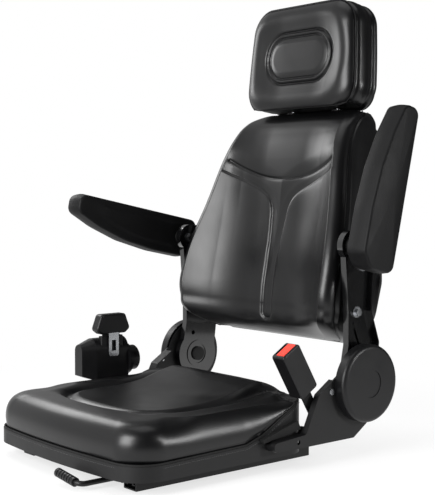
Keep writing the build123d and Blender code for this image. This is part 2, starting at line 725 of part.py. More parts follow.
def arm_bolts():
    """Zinc flange bolts that hold each arm to the backrest."""
    bolts = []
    for side in SIDES.values():
        for y, z in arm_bolt_places():
            bolt = rod_x(ARM_FACE, ARM_FACE + ARM_BOLT_FLANGE_HEIGHT, y, z, ARM_BOLT_FLANGE)
            bolt += hex_x(ARM_FACE, ARM_FACE + ARM_BOLT_HEAD_HEIGHT, y, z, ARM_BOLT_HEAD)
            bolt += rod_x(ARM_INNER - SPACER_DEPTH, ARM_FACE, y, z, ARM_BOLT_RADIUS)
            bolts.append(on_side(bolt, side))
    return bolts


def arm_spacers():
    """Sleeves let into the sides of the backrest, which stand the arms off it."""
    sleeves = []
    for side in SIDES.values():
        for y, z in arm_bolt_places():
            sleeve = rod_x(ARM_INNER - SPACER_DEPTH, ARM_INNER, y, z, SPACER_RADIUS)
            sleeve -= rod_x(0, WEB_OUTER, y, z, ARM_BOLT_RADIUS + RUN)
            sleeves.append(on_side(sleeve, side))
    return sleeves


# Backrest
def back_section(v, half, bolster, front):
    """Cross-section of the backrest at height v: a flat back, and bolsters that stand out at each side."""
    ridge = half - BOLSTER_INSET
    foot = ridge - BOLSTER_SLOPE
    side = [
        (half - BACK_SIDE_ROUND, -BACK_THICKNESS),
        (half, (front - BACK_THICKNESS) / 2),
        (half - BACK_SIDE_ROUND, front + bolster / 2),
        (ridge, front + bolster),
        ((ridge + foot) / 2, front + bolster / 2),
        (foot, front),
    ]
    points = side + [(0, front)] + [(-u, w) for u, w in reversed(side)]
    curve = Spline(*[(u, -w) for u, w in points])
    back = Line(curve @ 1, curve @ 0)
    plane = Plane(origin=BACK.from_local_coords((0, v, 0)), x_dir=(1, 0, 0), z_dir=BACK.y_dir)
    return plane * make_face([curve, back])


def on_back(u, v, w):
    """Plane across the backrest's own upright, at a place given along it."""
    return Plane(origin=BACK.from_local_coords((u, v, w)), x_dir=(1, 0, 0), z_dir=BACK.y_dir)


def back_cushion():
    """Moulded back pad: bolsters that deepen towards the bottom, and sewn-in grooves on its face."""
    low = BACK_HALF_WIDTH
    high = BACK_TOP_HALF_WIDTH
    sections = [
        back_section(0, low - BACK_CORNER, BOLSTER_FOOT_HEIGHT, -BACK_FOOT_ROLL),
        back_section(BACK_CORNER_STEP, low - BACK_CORNER_SIDE, BOLSTER_STEP_HEIGHT, -BACK_FOOT_STEP_ROLL),
        back_section(BACK_FULL_V, low, BOLSTER_HEIGHT, 0),
        back_section(BACK_HIP_V, low, BOLSTER_HEIGHT, 0),
        back_section(BACK_WAIST_V, BACK_WAIST_HALF_WIDTH, BOLSTER_WAIST_HEIGHT, 0),
        back_section(BACK_HEIGHT - BACK_FULL_V, high, BOLSTER_TOP_HEIGHT, 0),
        back_section(BACK_HEIGHT - BACK_TOP_STEP, high - BACK_CORNER_SIDE, 0, -BACK_TOP_STEP_ROLL),
        back_section(BACK_HEIGHT, high - BACK_TOP_CORNER, 0, -BACK_TOP_ROLL),
    ]
    pad = loft(sections)
    for line in groove_lines():
        slit = BACK.offset(-GROOVE_DEPTH) * trace(line, GROOVE_WIDTH)
        pad -= extrude(slit, amount=2 * BOLSTER_HEIGHT)
    for y, z in arm_bolt_places():
        for side in SIDES.values():
            pad -= on_side(rod_x(ARM_INNER - SPACER_DEPTH, ARM_INNER, y, z, SPACER_RADIUS + RUN), side)
    for u in (-POST_SPACING / 2, POST_SPACING / 2):
        well = on_back(u, BACK_HEIGHT - SLEEVE_LENGTH - WELL_ROOM, -POST_DEPTH)
        pad -= extrude(well * Circle(POST_RADIUS + SLEEVE_WALL + RUN), amount=BACK_HEIGHT)
    return pad


def groove_lines():
    """The arc across the shoulders and the two branches that run down into the middle stem."""
    arc = ThreePointArc(
        (-GROOVE_REACH, GROOVE_ARC_V),
        (0, GROOVE_ARC_V - GROOVE_ARC_DROP),
        (GROOVE_REACH, GROOVE_ARC_V),
    )
    branches = []
    for side in SIDES.values():
        branch = FilletPolyline(
            (side * GROOVE_REACH, GROOVE_ARC_V - BRANCH_DROP),
            (side * BRANCH_KNEE, GROOVE_ARC_V - BRANCH_KNEE),
            (side * (STEM_HALF_WIDTH + STEM_FLARE), GROOVE_ARC_V - STEM_DROP),
            (side * STEM_HALF_WIDTH, STEM_FOOT),
            radius=BRANCH_BEND,
        )
        branches.append(branch)
    return [arc, *branches]


def shell_outline():
    """Rear view of the back shell."""
    low = BACK_HALF_WIDTH - SHELL_INSET
    high = BACK_TOP_HALF_WIDTH - SHELL_INSET
    points = [
        (-low + SHELL_FOOT_INSET, SHELL_EDGE),
        (low - SHELL_FOOT_INSET, SHELL_EDGE),
        (low, BACK_HIP_V),
        (high, BACK_HEIGHT - SHELL_EDGE),
        (-high, BACK_HEIGHT - SHELL_EDGE),
        (-low, BACK_HIP_V),
    ]
    return rounded(points, SHELL_CORNER)


def back_shell():
    """Rear panel that closes the backrest."""
    shell = extrude(BACK.offset(-BACK_THICKNESS) * shell_outline(), amount=-SHELL_DEPTH)
    rear = shell.faces().sort_by(Axis(BACK.origin, BACK.z_dir))[0]
    return fillet(rear.edges(), SHELL_ROUND)


def back_trim():
    """Edging strip round the rear panel."""
    outline = shell_outline()
    ring = offset(outline, amount=BACK_TRIM) - offset(outline, amount=BORE_GAP)
    return extrude(BACK.offset(-BACK_THICKNESS) * ring, amount=-BACK_TRIM)


# Headrest
def head_outline(inset):
    """Front view of the headrest, a little narrower at the top."""
    points = [
        (-HEAD_HALF_WIDTH + inset, inset),
        (HEAD_HALF_WIDTH - inset, inset),
        (HEAD_TOP_HALF_WIDTH - inset, HEAD_HEIGHT - inset),
        (-HEAD_TOP_HALF_WIDTH + inset, HEAD_HEIGHT - inset),
    ]
    return rounded(points, HEAD_CORNER - inset)


def headrest_cushion():
    """Moulded head pad with a raised stadium between two grooves on its face."""
    pad = extrude(HEAD * head_outline(0), amount=-HEAD_THICKNESS)
    front = pad.faces().sort_by(Axis(HEAD.origin, HEAD.z_dir))[-1]
    pad = fillet(front.edges(), HEAD_ROUND)
    for step in (0, HEAD_GROOVE_STEP):
        width = 2 * (HEAD_GROOVE_HALF_WIDTH - step)
        height = 2 * (HEAD_GROOVE_HALF_HEIGHT - step)
        slot = SlotOverall(width, height)
        slot -= offset(slot, amount=-2 * HEAD_GROOVE_RADIUS)
        groove = HEAD.offset(-HEAD_GROOVE_RADIUS) * Pos(0, HEAD_GROOVE_V) * slot
        pad -= extrude(groove, amount=2 * HEAD_GROOVE_RADIUS)
    pad -= under_headrest()
    for post in headrest_posts(POST_RADIUS + BORE_GAP):
        pad -= post
    return pad


def under_headrest():
    """The space below the headrest's seat on the collars of its sleeves."""
    seat = BACK_HEIGHT + COLLAR_HEIGHT + SEAT_GAP
    return extrude(on_back(0, seat, 0) * Rectangle(BACK_HEIGHT, BACK_HEIGHT), amount=-BACK_HEIGHT)


def headrest_back():
    """Rear panel of the headrest."""
    panel = extrude(HEAD.offset(-HEAD_THICKNESS) * head_outline(HEAD_BACK_INSET), amount=-HEAD_BACK)
    rear = panel.faces().sort_by(Axis(HEAD.origin, HEAD.z_dir))[0]
    return fillet(rear.edges(), HEAD_BACK / 2) - under_headrest()


def headrest_trim():
    """Zip band round the rear panel."""
    ring = head_outline(HEAD_BACK_INSET - HEAD_TRIM) - head_outline(HEAD_BACK_INSET - BORE_GAP)
    return extrude(HEAD.offset(-HEAD_THICKNESS) * ring, amount=-HEAD_TRIM) - under_headrest()


def headrest_posts(radius=POST_RADIUS):
    """Two steel posts that run in the sleeves."""
    posts = []
    for u in (-POST_SPACING / 2, POST_SPACING / 2):
        foot = on_back(u, BACK_HEIGHT + POST_IN_HEAD - POST_LENGTH, -POST_DEPTH)
        posts.append(extrude(foot * Circle(radius), amount=POST_LENGTH))
    return posts


def headrest_sleeves():
    """Collared guide sleeves in the top of the backrest."""
    sleeves = []
    for u in (-POST_SPACING / 2, POST_SPACING / 2):
        foot = on_back(u, BACK_HEIGHT - SLEEVE_LENGTH, -POST_DEPTH)
        top = on_back(u, BACK_HEIGHT, -POST_DEPTH)
        sleeve = extrude(foot * Circle(POST_RADIUS + SLEEVE_WALL), amount=SLEEVE_LENGTH)
        sleeve += extrude(top * Circle(COLLAR_RADIUS), amount=COLLAR_HEIGHT)
        bore = extrude(foot * Circle(POST_RADIUS + BORE_GAP), amount=2 * SLEEVE_LENGTH)
        sleeves.append(sleeve - bore)
    return sleeves


# Armrests
def armrest_pad(angle):
    """Padded armrest at an angle above level: a straight top and an underside that deepens to the pivot."""
    outer = ARMREST_INNER + ARMREST_WIDTH
    plane = Plane(
        origin=(outer, ARMREST_Y, ARMREST_Z),
        x_dir=(0, -cos(radians(angle)), sin(radians(angle))),
        z_dir=(-1, 0, 0),
    )
    points = [
        (-ARMREST_TAIL, ARMREST_TOP),
        (ARMREST_LENGTH, ARMREST_TOP),
        (ARMREST_LENGTH, ARMREST_TOP - ARMREST_TIP),
        (ARMREST_LENGTH - ARMREST_CHIN, ARMREST_TOP - ARMREST_CHIN_DEPTH),
        (ARMREST_BELLY_FRONT, ARMREST_BELLY_RISE - ARMREST_UNDER),
        (ARMREST_BELLY, -ARMREST_UNDER),
        (-ARMREST_HEEL, -ARMREST_UNDER),
        (-ARMREST_TAIL, ARMREST_HEEL_RISE - ARMREST_UNDER),
    ]
    outline = rounded(points, [ARMREST_CORNER] * 3 + [ARMREST_SWEEP] * 3 + [ARMREST_CORNER] * 2)
    pad = extrude(plane * outline, amount=ARMREST_WIDTH)
    pad = fillet(pad.faces().filter_by(Axis.X).edges(), ARMREST_ROUND)
    depth = ARMREST_INNER + ARMREST_PIN_DEPTH
    return pad - rod_x(0, depth + SEAT_GAP, ARMREST_Y, ARMREST_Z, ARMREST_PIN_RADIUS + BORE_GAP)


def armrest_pin():
    """Headed pivot bolt through the arm's lobe and into the armrest."""
    head = ARM_INNER - ARMREST_PIN_HEAD_HEIGHT
    end = ARMREST_INNER + ARMREST_PIN_DEPTH
    pin = hex_x(head, ARM_INNER, ARMREST_Y, ARMREST_Z, ARMREST_PIN_HEAD)
    return pin + rod_x(ARM_INNER, end, ARMREST_Y, ARMREST_Z, ARMREST_PIN_RADIUS)


def armrest_hub():
    """Spacer tube between the arm and the armrest."""
    hub = rod_x(ARM_FACE, ARMREST_INNER - SEAT_GAP, ARMREST_Y, ARMREST_Z, HUB_RADIUS)
    return hub - rod_x(0, ARMREST_INNER, ARMREST_Y, ARMREST_Z, ARMREST_PIN_RADIUS + BORE_GAP)


# Slide lever
LEVER_X = RAIL_X - LEVER_INBOARD


def lever_rod():
    """Bent steel rod: along the rail, then across in front of the seat."""
    route = FilletPolyline(
        (LEVER_X, LEVER_REAR, LEVER_Z),
        (LEVER_X, LEVER_FRONT, LEVER_Z),
        (LEVER_X - LEVER_REACH, LEVER_FRONT, LEVER_Z + LEVER_LIFT),
        radius=LEVER_BEND,
    )
    return sweep(Plane.XZ.offset(-LEVER_REAR) * Pos(LEVER_X, LEVER_Z) * Circle(LEVER_RADIUS), route)


def lever_grip():
    """Ribbed plastic grip pushed on the end of the rod."""
    length = Vector(-LEVER_REACH, 0, LEVER_LIFT).length
    plane = Plane(
        origin=(LEVER_X, LEVER_FRONT, LEVER_Z),
        x_dir=(-LEVER_REACH, 0, LEVER_LIFT),
        z_dir=(0, -1, 0),
    )
    end = length + GRIP_RADIUS - LEVER_RADIUS
    start = end - GRIP_LENGTH
    body = Pos((start + end) / 2, GRIP_RADIUS / 2) * Rectangle(GRIP_LENGTH, GRIP_RADIUS)
    bore = Pos((start + length) / 2, LEVER_RADIUS / 2) * Rectangle(length - start, LEVER_RADIUS)
    pitch = GRIP_LENGTH / (GRIP_GROOVES + 1)
    for i in range(GRIP_GROOVES):
        groove = Rectangle(GRIP_GROOVE_WIDTH, 2 * GRIP_GROOVE_DEPTH)
        body -= Pos(start + (i + 1) * pitch, GRIP_RADIUS) * groove
    return revolve(plane * (body - bore), Axis(plane.origin, plane.x_dir))


def lever_lugs():
    """Two hangers under the pan that the rod turns in."""
    lugs = []
    for y in (LUG_FRONT, LUG_REAR):
        middle = (LEVER_Z + UPPER_RAIL_TOP) / 2
        outline = Pos(LEVER_X, middle) * Rectangle(LUG_WIDTH, UPPER_RAIL_TOP - LEVER_Z)
        outline += Pos(LEVER_X, LEVER_Z) * Circle(LUG_WIDTH / 2)
        outline -= Pos(LEVER_X, LEVER_Z) * Circle(LEVER_RADIUS + BORE_GAP)
        lugs.append(extrude(Plane.XZ.offset(-y) * outline, amount=LUG_THICKNESS))
    return lugs


def slide_latch():
    """Toothed plate on the rod, whose teeth point at the slots of the lower rail."""
    tip = RAIL_X - RAIL_WIDTH / 2 - LATCH_GAP
    middle = RAIL_HEIGHT / 2
    y0 = LATCH_Y - LATCH_LENGTH / 2
    y1 = LATCH_Y + LATCH_LENGTH / 2
    plate = box(LEVER_X, tip, y0, y1, middle - LATCH_SHEET / 2, middle + LATCH_SHEET / 2)
    for side in SIDES.values():
        gap = LATCH_PITCH - LATCH_SLOT + 2 * SEAT_GAP
        plate -= Pos(tip, LATCH_Y + side * LATCH_PITCH / 2, middle) * Box(2 * LATCH_TOOTH, gap, RAIL_HEIGHT)
    rod = Plane.XZ.offset(-y1 - RAIL_HEIGHT) * Pos(LEVER_X, LEVER_Z) * Circle(LEVER_RADIUS)
    return plate - extrude(rod, amount=LATCH_LENGTH + 2 * RAIL_HEIGHT)


# Recline lever, made on the left and mirrored to the right
def recline_lever():
    """Flat lever on a boss over the recliner cover, with a shaft through it."""
    x = COVER_OUTER + SEAT_GAP
    tip = (PIVOT_Y + RECLINE_REACH_Y, PIVOT_Z + RECLINE_REACH_Z)
    boss = Pos(PIVOT_Y, PIVOT_Z) * Circle(RECLINE_BOSS)
    end = Pos(*tip) * Circle(RECLINE_WIDTH / 2)
    lever = plate_x(make_hull(boss.edges() + end.edges()), x, RECLINE_SHEET)
    start = WEB_OUTER + PIVOT_NUT_HEIGHT + SEAT_GAP
    return lever + rod_x(start, x, PIVOT_Y, PIVOT_Z, RECLINE_SHAFT)


def recline_knob():
    """Turned knob on the end of the recline lever."""
    x = COVER_OUTER + SEAT_GAP + RECLINE_SHEET
    points = [
        (x, 0),
        (x, KNOB_NECK),
        (x + KNOB_NECK_LENGTH, KNOB_NECK),
        (x + KNOB_LENGTH - 2 * KNOB_ROUND, KNOB_RADIUS),
        (x + KNOB_LENGTH - KNOB_ROUND, KNOB_RADIUS),
        (x + KNOB_LENGTH, KNOB_RADIUS - KNOB_ROUND),
        (x + KNOB_LENGTH, 0),
    ]
    return turned_x(points, PIVOT_Y + RECLINE_REACH_Y, PIVOT_Z + RECLINE_REACH_Z)


# Lap belt retractor
REEL_MIDDLE = (REEL_FRONT + REEL_REAR) / 2
STRAP_X = REEL_X + ROLL_RADIUS + SEAT_GAP + BELT_THICKNESS / 2


def reel_profile(inset):
    """Front view of the retractor housing: straight sides and a round crown."""
    half = REEL_HALF_WIDTH - inset
    sides = Pos(REEL_X, (REEL_FOOT + REEL_CROWN) / 2) * Rectangle(2 * half, REEL_CROWN - REEL_FOOT)
    return sides + Pos(REEL_X, REEL_CROWN) * Circle(half)


def along_y(outline, y0, y1):
    """Outline in X and Z carried along Y."""
    return extrude(Plane.XZ.offset(-y1) * outline, amount=y1 - y0)


def rod_y(y0, y1, radius):
    """Round bar along the retractor's axle."""
    return along_y(Pos(REEL_X, REEL_Z) * Circle(radius), y0, y1)


def belt_mouth_block():
    """Block that the mouth of the belt is cut in."""
    half = MOUTH_WIDTH / 2
    side = MOUTH_DEPTH / 2
    low = REEL_CROWN + SEAT_GAP
    return box(STRAP_X - side, STRAP_X + side, REEL_MIDDLE - half, REEL_MIDDLE + half, low, MOUTH_TOP)


def retractor_housing():
    """Thin moulded hood over the reel, open below and at both ends."""
    hood = along_y(reel_profile(0), REEL_FRONT, REEL_REAR)
    hood -= along_y(reel_profile(REEL_WALL), REEL_FRONT, REEL_REAR)
    return hood - belt_mouth_block()


def belt_mouth():
    """Guide that the belt comes out through."""
    half = BELT_WIDTH / 2 + MOUTH_SIDE_GAP
    side = MOUTH_SLOT / 2
    slot = box(STRAP_X - side, STRAP_X + side, REEL_MIDDLE - half, REEL_MIDDLE + half, 0, 2 * MOUTH_TOP)
    block = belt_mouth_block()
    return fillet(block.edges().filter_by(Axis.Z), MOUTH_ROUND) - slot


def retractor_frame():
    """Folded steel frame: a base, two cheeks for the axle and a tab that bolts to the bracket."""
    y0 = REEL_FRONT + SEAT_GAP
    y1 = REEL_REAR - SEAT_GAP
    low = REEL_X - CHEEK_HALF_WIDTH
    frame = box(low, -WEB_OUTER, y0, y1, REEL_BASE_Z, REEL_BASE_Z + REEL_SHEET)
    for y in (y0, y1 - REEL_SHEET):
        frame += box(low, REEL_X + CHEEK_HALF_WIDTH, y, y + REEL_SHEET, REEL_BASE_Z, CHEEK_TOP)
    y, z = anchor_place()
    face = -WEB_OUTER - REEL_SHEET
    frame += box(face, -WEB_OUTER, y1 - TAB_WIDTH, y1, z - TAB_EDGE, REEL_BASE_Z + REEL_SHEET)
    frame -= rod_y(0, 2 * REEL_REAR, AXLE_RADIUS + BORE_GAP)
    return frame - rod_x(-COVER_OUTER, 0, y, z, ANCHOR_RADIUS + RUN)


def anchor_place():
    """Where the retractor's tab is bolted to the right bracket, as (y, z)."""
    return (REEL_REAR - TAB_WIDTH / 2, BRACKET_HOLE_Z)


def retractor_anchor():
    """Bolt that holds the retractor to the right bracket."""
    y, z = anchor_place()
    face = -WEB_OUTER - REEL_SHEET
    bolt = hex_x(face - ANCHOR_HEAD_HEIGHT, face, y, z, ANCHOR_HEAD)
    return bolt + rod_x(face, -WEB_INNER, y, z, ANCHOR_RADIUS)


def spring_cover():
    """Tapered cap over the retractor's spring, on the front."""
    cap = extrude(Plane.XZ.offset(-REEL_FRONT) * reel_profile(0), amount=DOME_LENGTH, taper=DOME_TAPER_ANGLE)
    return cap - rod_y(REEL_FRONT - AXLE_POCKET, REEL_FRONT, AXLE_POCKET_RADIUS)


def sensor_cover():
    """Round cap over the retractor's lock, on the rear."""
    cap = rod_y(REEL_REAR, REEL_REAR + FLANGE_DEPTH, FLANGE_RADIUS)
    cap += rod_y(REEL_REAR + FLANGE_DEPTH, REEL_REAR + FLANGE_DEPTH + SENSOR_DEPTH, SENSOR_RADIUS)
    return cap - rod_y(0, REEL_REAR + AXLE_POCKET, AXLE_POCKET_RADIUS)


def belt_spool():
    """Axle and drum that the belt winds on."""
    gap = REEL_SHEET + 2 * SEAT_GAP
    spool = rod_y(REEL_FRONT - AXLE_OVERHANG, REEL_REAR + AXLE_OVERHANG, AXLE_RADIUS)
    return spool + rod_y(REEL_FRONT + gap, REEL_REAR - gap, DRUM_RADIUS)


def belt_roll():
    """The wound belt."""
    half = BELT_WIDTH / 2
    roll = rod_y(REEL_MIDDLE - half, REEL_MIDDLE + half, ROLL_RADIUS)
    return roll - rod_y(0, REEL_REAR, DRUM_RADIUS)


def belt_strap():
    """The free end of the belt, from the roll up into the tongue's grip."""
    half = BELT_WIDTH / 2
    top = TONGUE_GRIP_FOOT + TONGUE_GRIP_HEIGHT / 2
    side = BELT_THICKNESS / 2
    return box(STRAP_X - side, STRAP_X + side, REEL_MIDDLE - half, REEL_MIDDLE + half, REEL_Z, top)


def tongue_plate():
    """Steel tongue with a rectangular latch hole."""
    top = TONGUE_GRIP_FOOT + TONGUE_GRIP_HEIGHT / 2
    middle = (TONGUE_FOOT + top) / 2
    outline = Pos(REEL_MIDDLE, middle) * RectangleRounded(TONGUE_WIDTH, top - TONGUE_FOOT, TONGUE_ROUND)
    slot = TONGUE_FOOT + TONGUE_EDGE + TONGUE_SLOT_HEIGHT / 2
    outline -= Pos(REEL_MIDDLE, slot) * Rectangle(TONGUE_SLOT, TONGUE_SLOT_HEIGHT)
    return plate_x(outline, REEL_X + REEL_HALF_WIDTH + TONGUE_GAP, TONGUE_SHEET)


def tongue_grip():
    """Moulded grip over the top of the tongue and the end of the belt."""
    half = TONGUE_GRIP_WIDTH / 2
    x0 = STRAP_X - TONGUE_GRIP_DEPTH / 2
    x1 = STRAP_X + TONGUE_GRIP_DEPTH / 2
    top = TONGUE_GRIP_FOOT + TONGUE_GRIP_HEIGHT
    points = [
        (REEL_MIDDLE - half, TONGUE_GRIP_FOOT + TONGUE_WING),
        (REEL_MIDDLE - half + TONGUE_WING_INSET, TONGUE_GRIP_FOOT),
        (REEL_MIDDLE + half - TONGUE_WING_INSET, TONGUE_GRIP_FOOT),
        (REEL_MIDDLE + half, TONGUE_GRIP_FOOT + TONGUE_WING),
        (REEL_MIDDLE + half - TONGUE_WING_INSET, top),
        (REEL_MIDDLE - half + TONGUE_WING_INSET, top),
    ]
    grip = plate_x(rounded(points, TONGUE_GRIP_ROUND), x0, x1 - x0)
    grip = fillet(grip.faces().filter_by(Axis.X).edges(), TONGUE_GRIP_EDGE)
    return grip - belt_strap() - tongue_plate()


# Belt buckle
def buckle_plane(x):
    """Plane of the leaning buckle: its second axis runs up the buckle from the anchor."""
    lean = radians(BUCKLE_LEAN_ANGLE)
    return Plane(
        origin=(x, BUCKLE_ANCHOR_Y, BUCKLE_ANCHOR_Z), x_dir=(0, cos(lean), sin(lean)), z_dir=(1, 0, 0)
    )


STALK_X = HALF_SEAT + STALK_GAP
BUCKLE_X = STALK_X + STALK_SHEET / 2 - BUCKLE_DEPTH / 2
BUCKLE_TOP = BUCKLE_FOOT + BUCKLE_HEIGHT


def buckle_stalk():
    """Steel strap from the anchor up into the buckle."""
    length = BUCKLE_FOOT + STALK_INTO
    outline = Pos(0, length / 2) * Rectangle(STALK_WIDTH, length) + Circle(STALK_WIDTH / 2)
    outline -= Circle(ANCHOR_RADIUS + BORE_GAP)
    return extrude(buckle_plane(STALK_X) * outline, amount=STALK_SHEET)


def buckle_housing():
    """Moulded buckle body with a pocket for its button and a slot for the tongue."""
    outline = RectangleRounded(BUCKLE_WIDTH, BUCKLE_HEIGHT, BUCKLE_ROUND)
    outline = Pos(0, BUCKLE_FOOT + BUCKLE_HEIGHT / 2) * outline
    body = extrude(buckle_plane(BUCKLE_X) * outline, amount=BUCKLE_DEPTH)
    body = fillet(body.faces().filter_by(Axis.X).edges(), BUCKLE_ROUND / 2)
    body -= button_block(BUTTON_DEPTH + BUTTON_TRAVEL_ROOM, SEAT_GAP)
    mouth = Pos(0, BUCKLE_TOP) * Rectangle(TONGUE_WIDTH + BUCKLE_SLOT_PLAY, 2 * BUCKLE_SLOT_DEPTH)
    body -= extrude(buckle_plane(BUCKLE_X + BUCKLE_LIP) * mouth, amount=TONGUE_SHEET + BUCKLE_SLOT_PLAY)
    return body - buckle_stalk()


def button_block(depth, clearance):
    """Rectangular block let into the top of the buckle, of a given depth."""
    width = BUTTON_WIDTH + 2 * clearance
    outline = Pos(0, BUCKLE_TOP + BUTTON_PROUD - depth / 2) * Rectangle(width, depth)
    start = BUCKLE_X + BUTTON_SET - clearance
    thickness = BUCKLE_DEPTH - BUTTON_SET - BUTTON_WALL + 2 * clearance
    return extrude(buckle_plane(start) * outline, amount=thickness)


def buckle_button():
    """Red press button in the top of the buckle."""
    return button_block(BUTTON_DEPTH, 0)


def buckle_anchor():
    """Shouldered stud on the left bracket that the stalk turns on."""
    y, z = BUCKLE_ANCHOR_Y, BUCKLE_ANCHOR_Z
    stud = rod_x(STALK_X + STALK_SHEET + RUN, WEB_INNER, y, z, STUD_RADIUS)
    stud += rod_x(STALK_X - RUN, WEB_INNER, y, z, ANCHOR_RADIUS)
    return stud + hex_x(STALK_X - RUN - STUD_HEAD, STALK_X - RUN, y, z, ANCHOR_HEAD)


def stalk_notch():
    """Cut in the left bracket's flange for the buckle's stalk to swing in."""
    front = BUCKLE_ANCHOR_Y - NOTCH_AHEAD
    rear = BUCKLE_ANCHOR_Y + NOTCH_BEHIND
    low = BUCKLE_ANCHOR_Z - NOTCH_BELOW
    return box(0, STALK_X + STALK_SHEET + NOTCH_GAP, front, rear, low, 2 * PIVOT_Z)


def write(name, shape):
    """Write one node: a single solid, or a group of separate ones."""
    if isinstance(shape, list):
        shape = Compound(children=[solid for one in shape for solid in one.solids()])
    export_step(shape, f"parts/{name}.step")


os.makedirs("parts", exist_ok=True)

for name, side in SIDES.items():
    write(f"{name}_lower_rail", on_side(lower_rail(), side))
    write(f"{name}_upper_rail", on_side(upper_rail(), side))
    write(f"{name}_rail_glides", [on_side(glide, side) for glide in rail_glides()])
    write(f"{name}_side_block", on_side(side_block(), side))
    write(f"{name}_recliner_pin", on_side(recliner_pin(), side))
    write(f"{name}_recliner_bush", on_side(recliner_bush(), side))
    write(f"{name}_back_arm", on_side(back_arm(), side))
    write(f"{name}_armrest_pin", on_side(armrest_pin(), side))
    write(f"{name}_armrest_hub", on_side(armrest_hub(), side))

write("left_side_bracket", side_bracket() - stalk_notch())
anchor_hole = rod_x(-COVER_OUTER, 0, *anchor_place(), ANCHOR_RADIUS + RUN)
write("right_side_bracket", on_side(side_bracket(), -1) - anchor_hole)
write("left_recliner_cover", recliner_cover())
shaft_hole = rod_x(0, 2 * COVER_OUTER, PIVOT_Y, PIVOT_Z, RECLINE_SHAFT + RUN)
write("right_recliner_cover", on_side(recliner_cover() - shaft_hole, -1))
write("bracket_screws", bracket_screws())
write("seat_pan", seat_pan())
write("pan_bolts", pan_bolts())
write("seat_trim", seat_trim())
write("seat_cushion", seat_cushion())
write("arm_bolts", arm_bolts())
write("arm_spacers", arm_spacers())
write("back_cushion", back_cushion())
write("back_shell", back_shell())
write("back_trim", back_trim())
write("headrest_cushion", headrest_cushion())
write("headrest_back", headrest_back())
write("headrest_trim", headrest_trim())
write("headrest_posts", headrest_posts())
write("headrest_sleeves", headrest_sleeves())
write("left_armrest_pad", armrest_pad(ARMREST_DOWN_ANGLE + ARMREST_SWING_ANGLE))
write("right_armrest_pad", on_side(armrest_pad(ARMREST_DOWN_ANGLE), -1))
write("slide_lever_rod", lever_rod())
write("slide_lever_grip", lever_grip())
write("slide_lever_lugs", lever_lugs())
write("slide_latch", slide_latch())
write("recline_lever", on_side(recline_lever(), -1))
write("recline_knob", on_side(recline_knob(), -1))
write("retractor_frame", retractor_frame())
write("retractor_housing", retractor_housing())
write("retractor_anchor", retractor_anchor())
write("spring_cover", spring_cover())
write("sensor_cover", sensor_cover())
write("belt_mouth", belt_mouth())
write("belt_spool", belt_spool())
write("belt_roll", belt_roll())
write("belt_strap", belt_strap())
write("tongue_plate", tongue_plate())
write("tongue_grip", tongue_grip())
write("buckle_stalk", buckle_stalk())
write("buckle_housing", buckle_housing())
write("buckle_button", buckle_button())
write("buckle_anchor", buckle_anchor())
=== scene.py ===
import json
from math import cos, pi, radians, sin

import bmesh
import bpy
import numpy as np
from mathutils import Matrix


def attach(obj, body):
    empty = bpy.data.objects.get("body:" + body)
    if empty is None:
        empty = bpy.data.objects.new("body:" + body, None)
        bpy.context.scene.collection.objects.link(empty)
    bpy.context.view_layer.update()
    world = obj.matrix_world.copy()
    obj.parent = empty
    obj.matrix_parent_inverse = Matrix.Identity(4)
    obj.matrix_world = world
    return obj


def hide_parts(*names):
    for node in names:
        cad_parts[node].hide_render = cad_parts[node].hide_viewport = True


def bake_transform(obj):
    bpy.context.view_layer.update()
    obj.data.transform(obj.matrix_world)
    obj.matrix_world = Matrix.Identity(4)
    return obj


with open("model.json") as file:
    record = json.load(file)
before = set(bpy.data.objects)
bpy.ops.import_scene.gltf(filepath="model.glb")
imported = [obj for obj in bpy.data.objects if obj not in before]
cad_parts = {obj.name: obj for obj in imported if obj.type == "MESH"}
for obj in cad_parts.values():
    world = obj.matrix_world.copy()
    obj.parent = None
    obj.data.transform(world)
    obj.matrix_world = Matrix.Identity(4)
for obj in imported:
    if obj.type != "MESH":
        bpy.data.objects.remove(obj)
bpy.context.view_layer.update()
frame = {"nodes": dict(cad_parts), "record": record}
nodes = frame["nodes"]
scene = bpy.context.scene

# Lengths are written in millimetres, as in the part's source, and MM turns them to metres.
MM = 0.001


# Shapes

def soft_step(low, high, x):
    """0 below low, 1 above high, and an S-curve between them."""
    t = np.clip((x - low) / (high - low), 0, 1)
    return t * t * (3 - 2 * t)


def flow(x, knots, values):
    """Smooth line through the knots: a cubic on each run, with the slope at a knot taken from its two neighbours."""
    knots = np.asarray(knots, float)
    values = np.asarray(values, float)
    slope = np.gradient(values, knots)
    x = np.clip(x, knots[0], knots[-1])
    i = np.clip(np.searchsorted(knots, x) - 1, 0, len(knots) - 2)
    run = knots[i + 1] - knots[i]
    t = (x - knots[i]) / run
    start = (1 + 2 * t) * (1 - t) ** 2 * values[i] + t * (1 - t) ** 2 * run * slope[i]
    end = t * t * (3 - 2 * t) * values[i + 1] - t * t * (1 - t) * run * slope[i + 1]
    return start + end


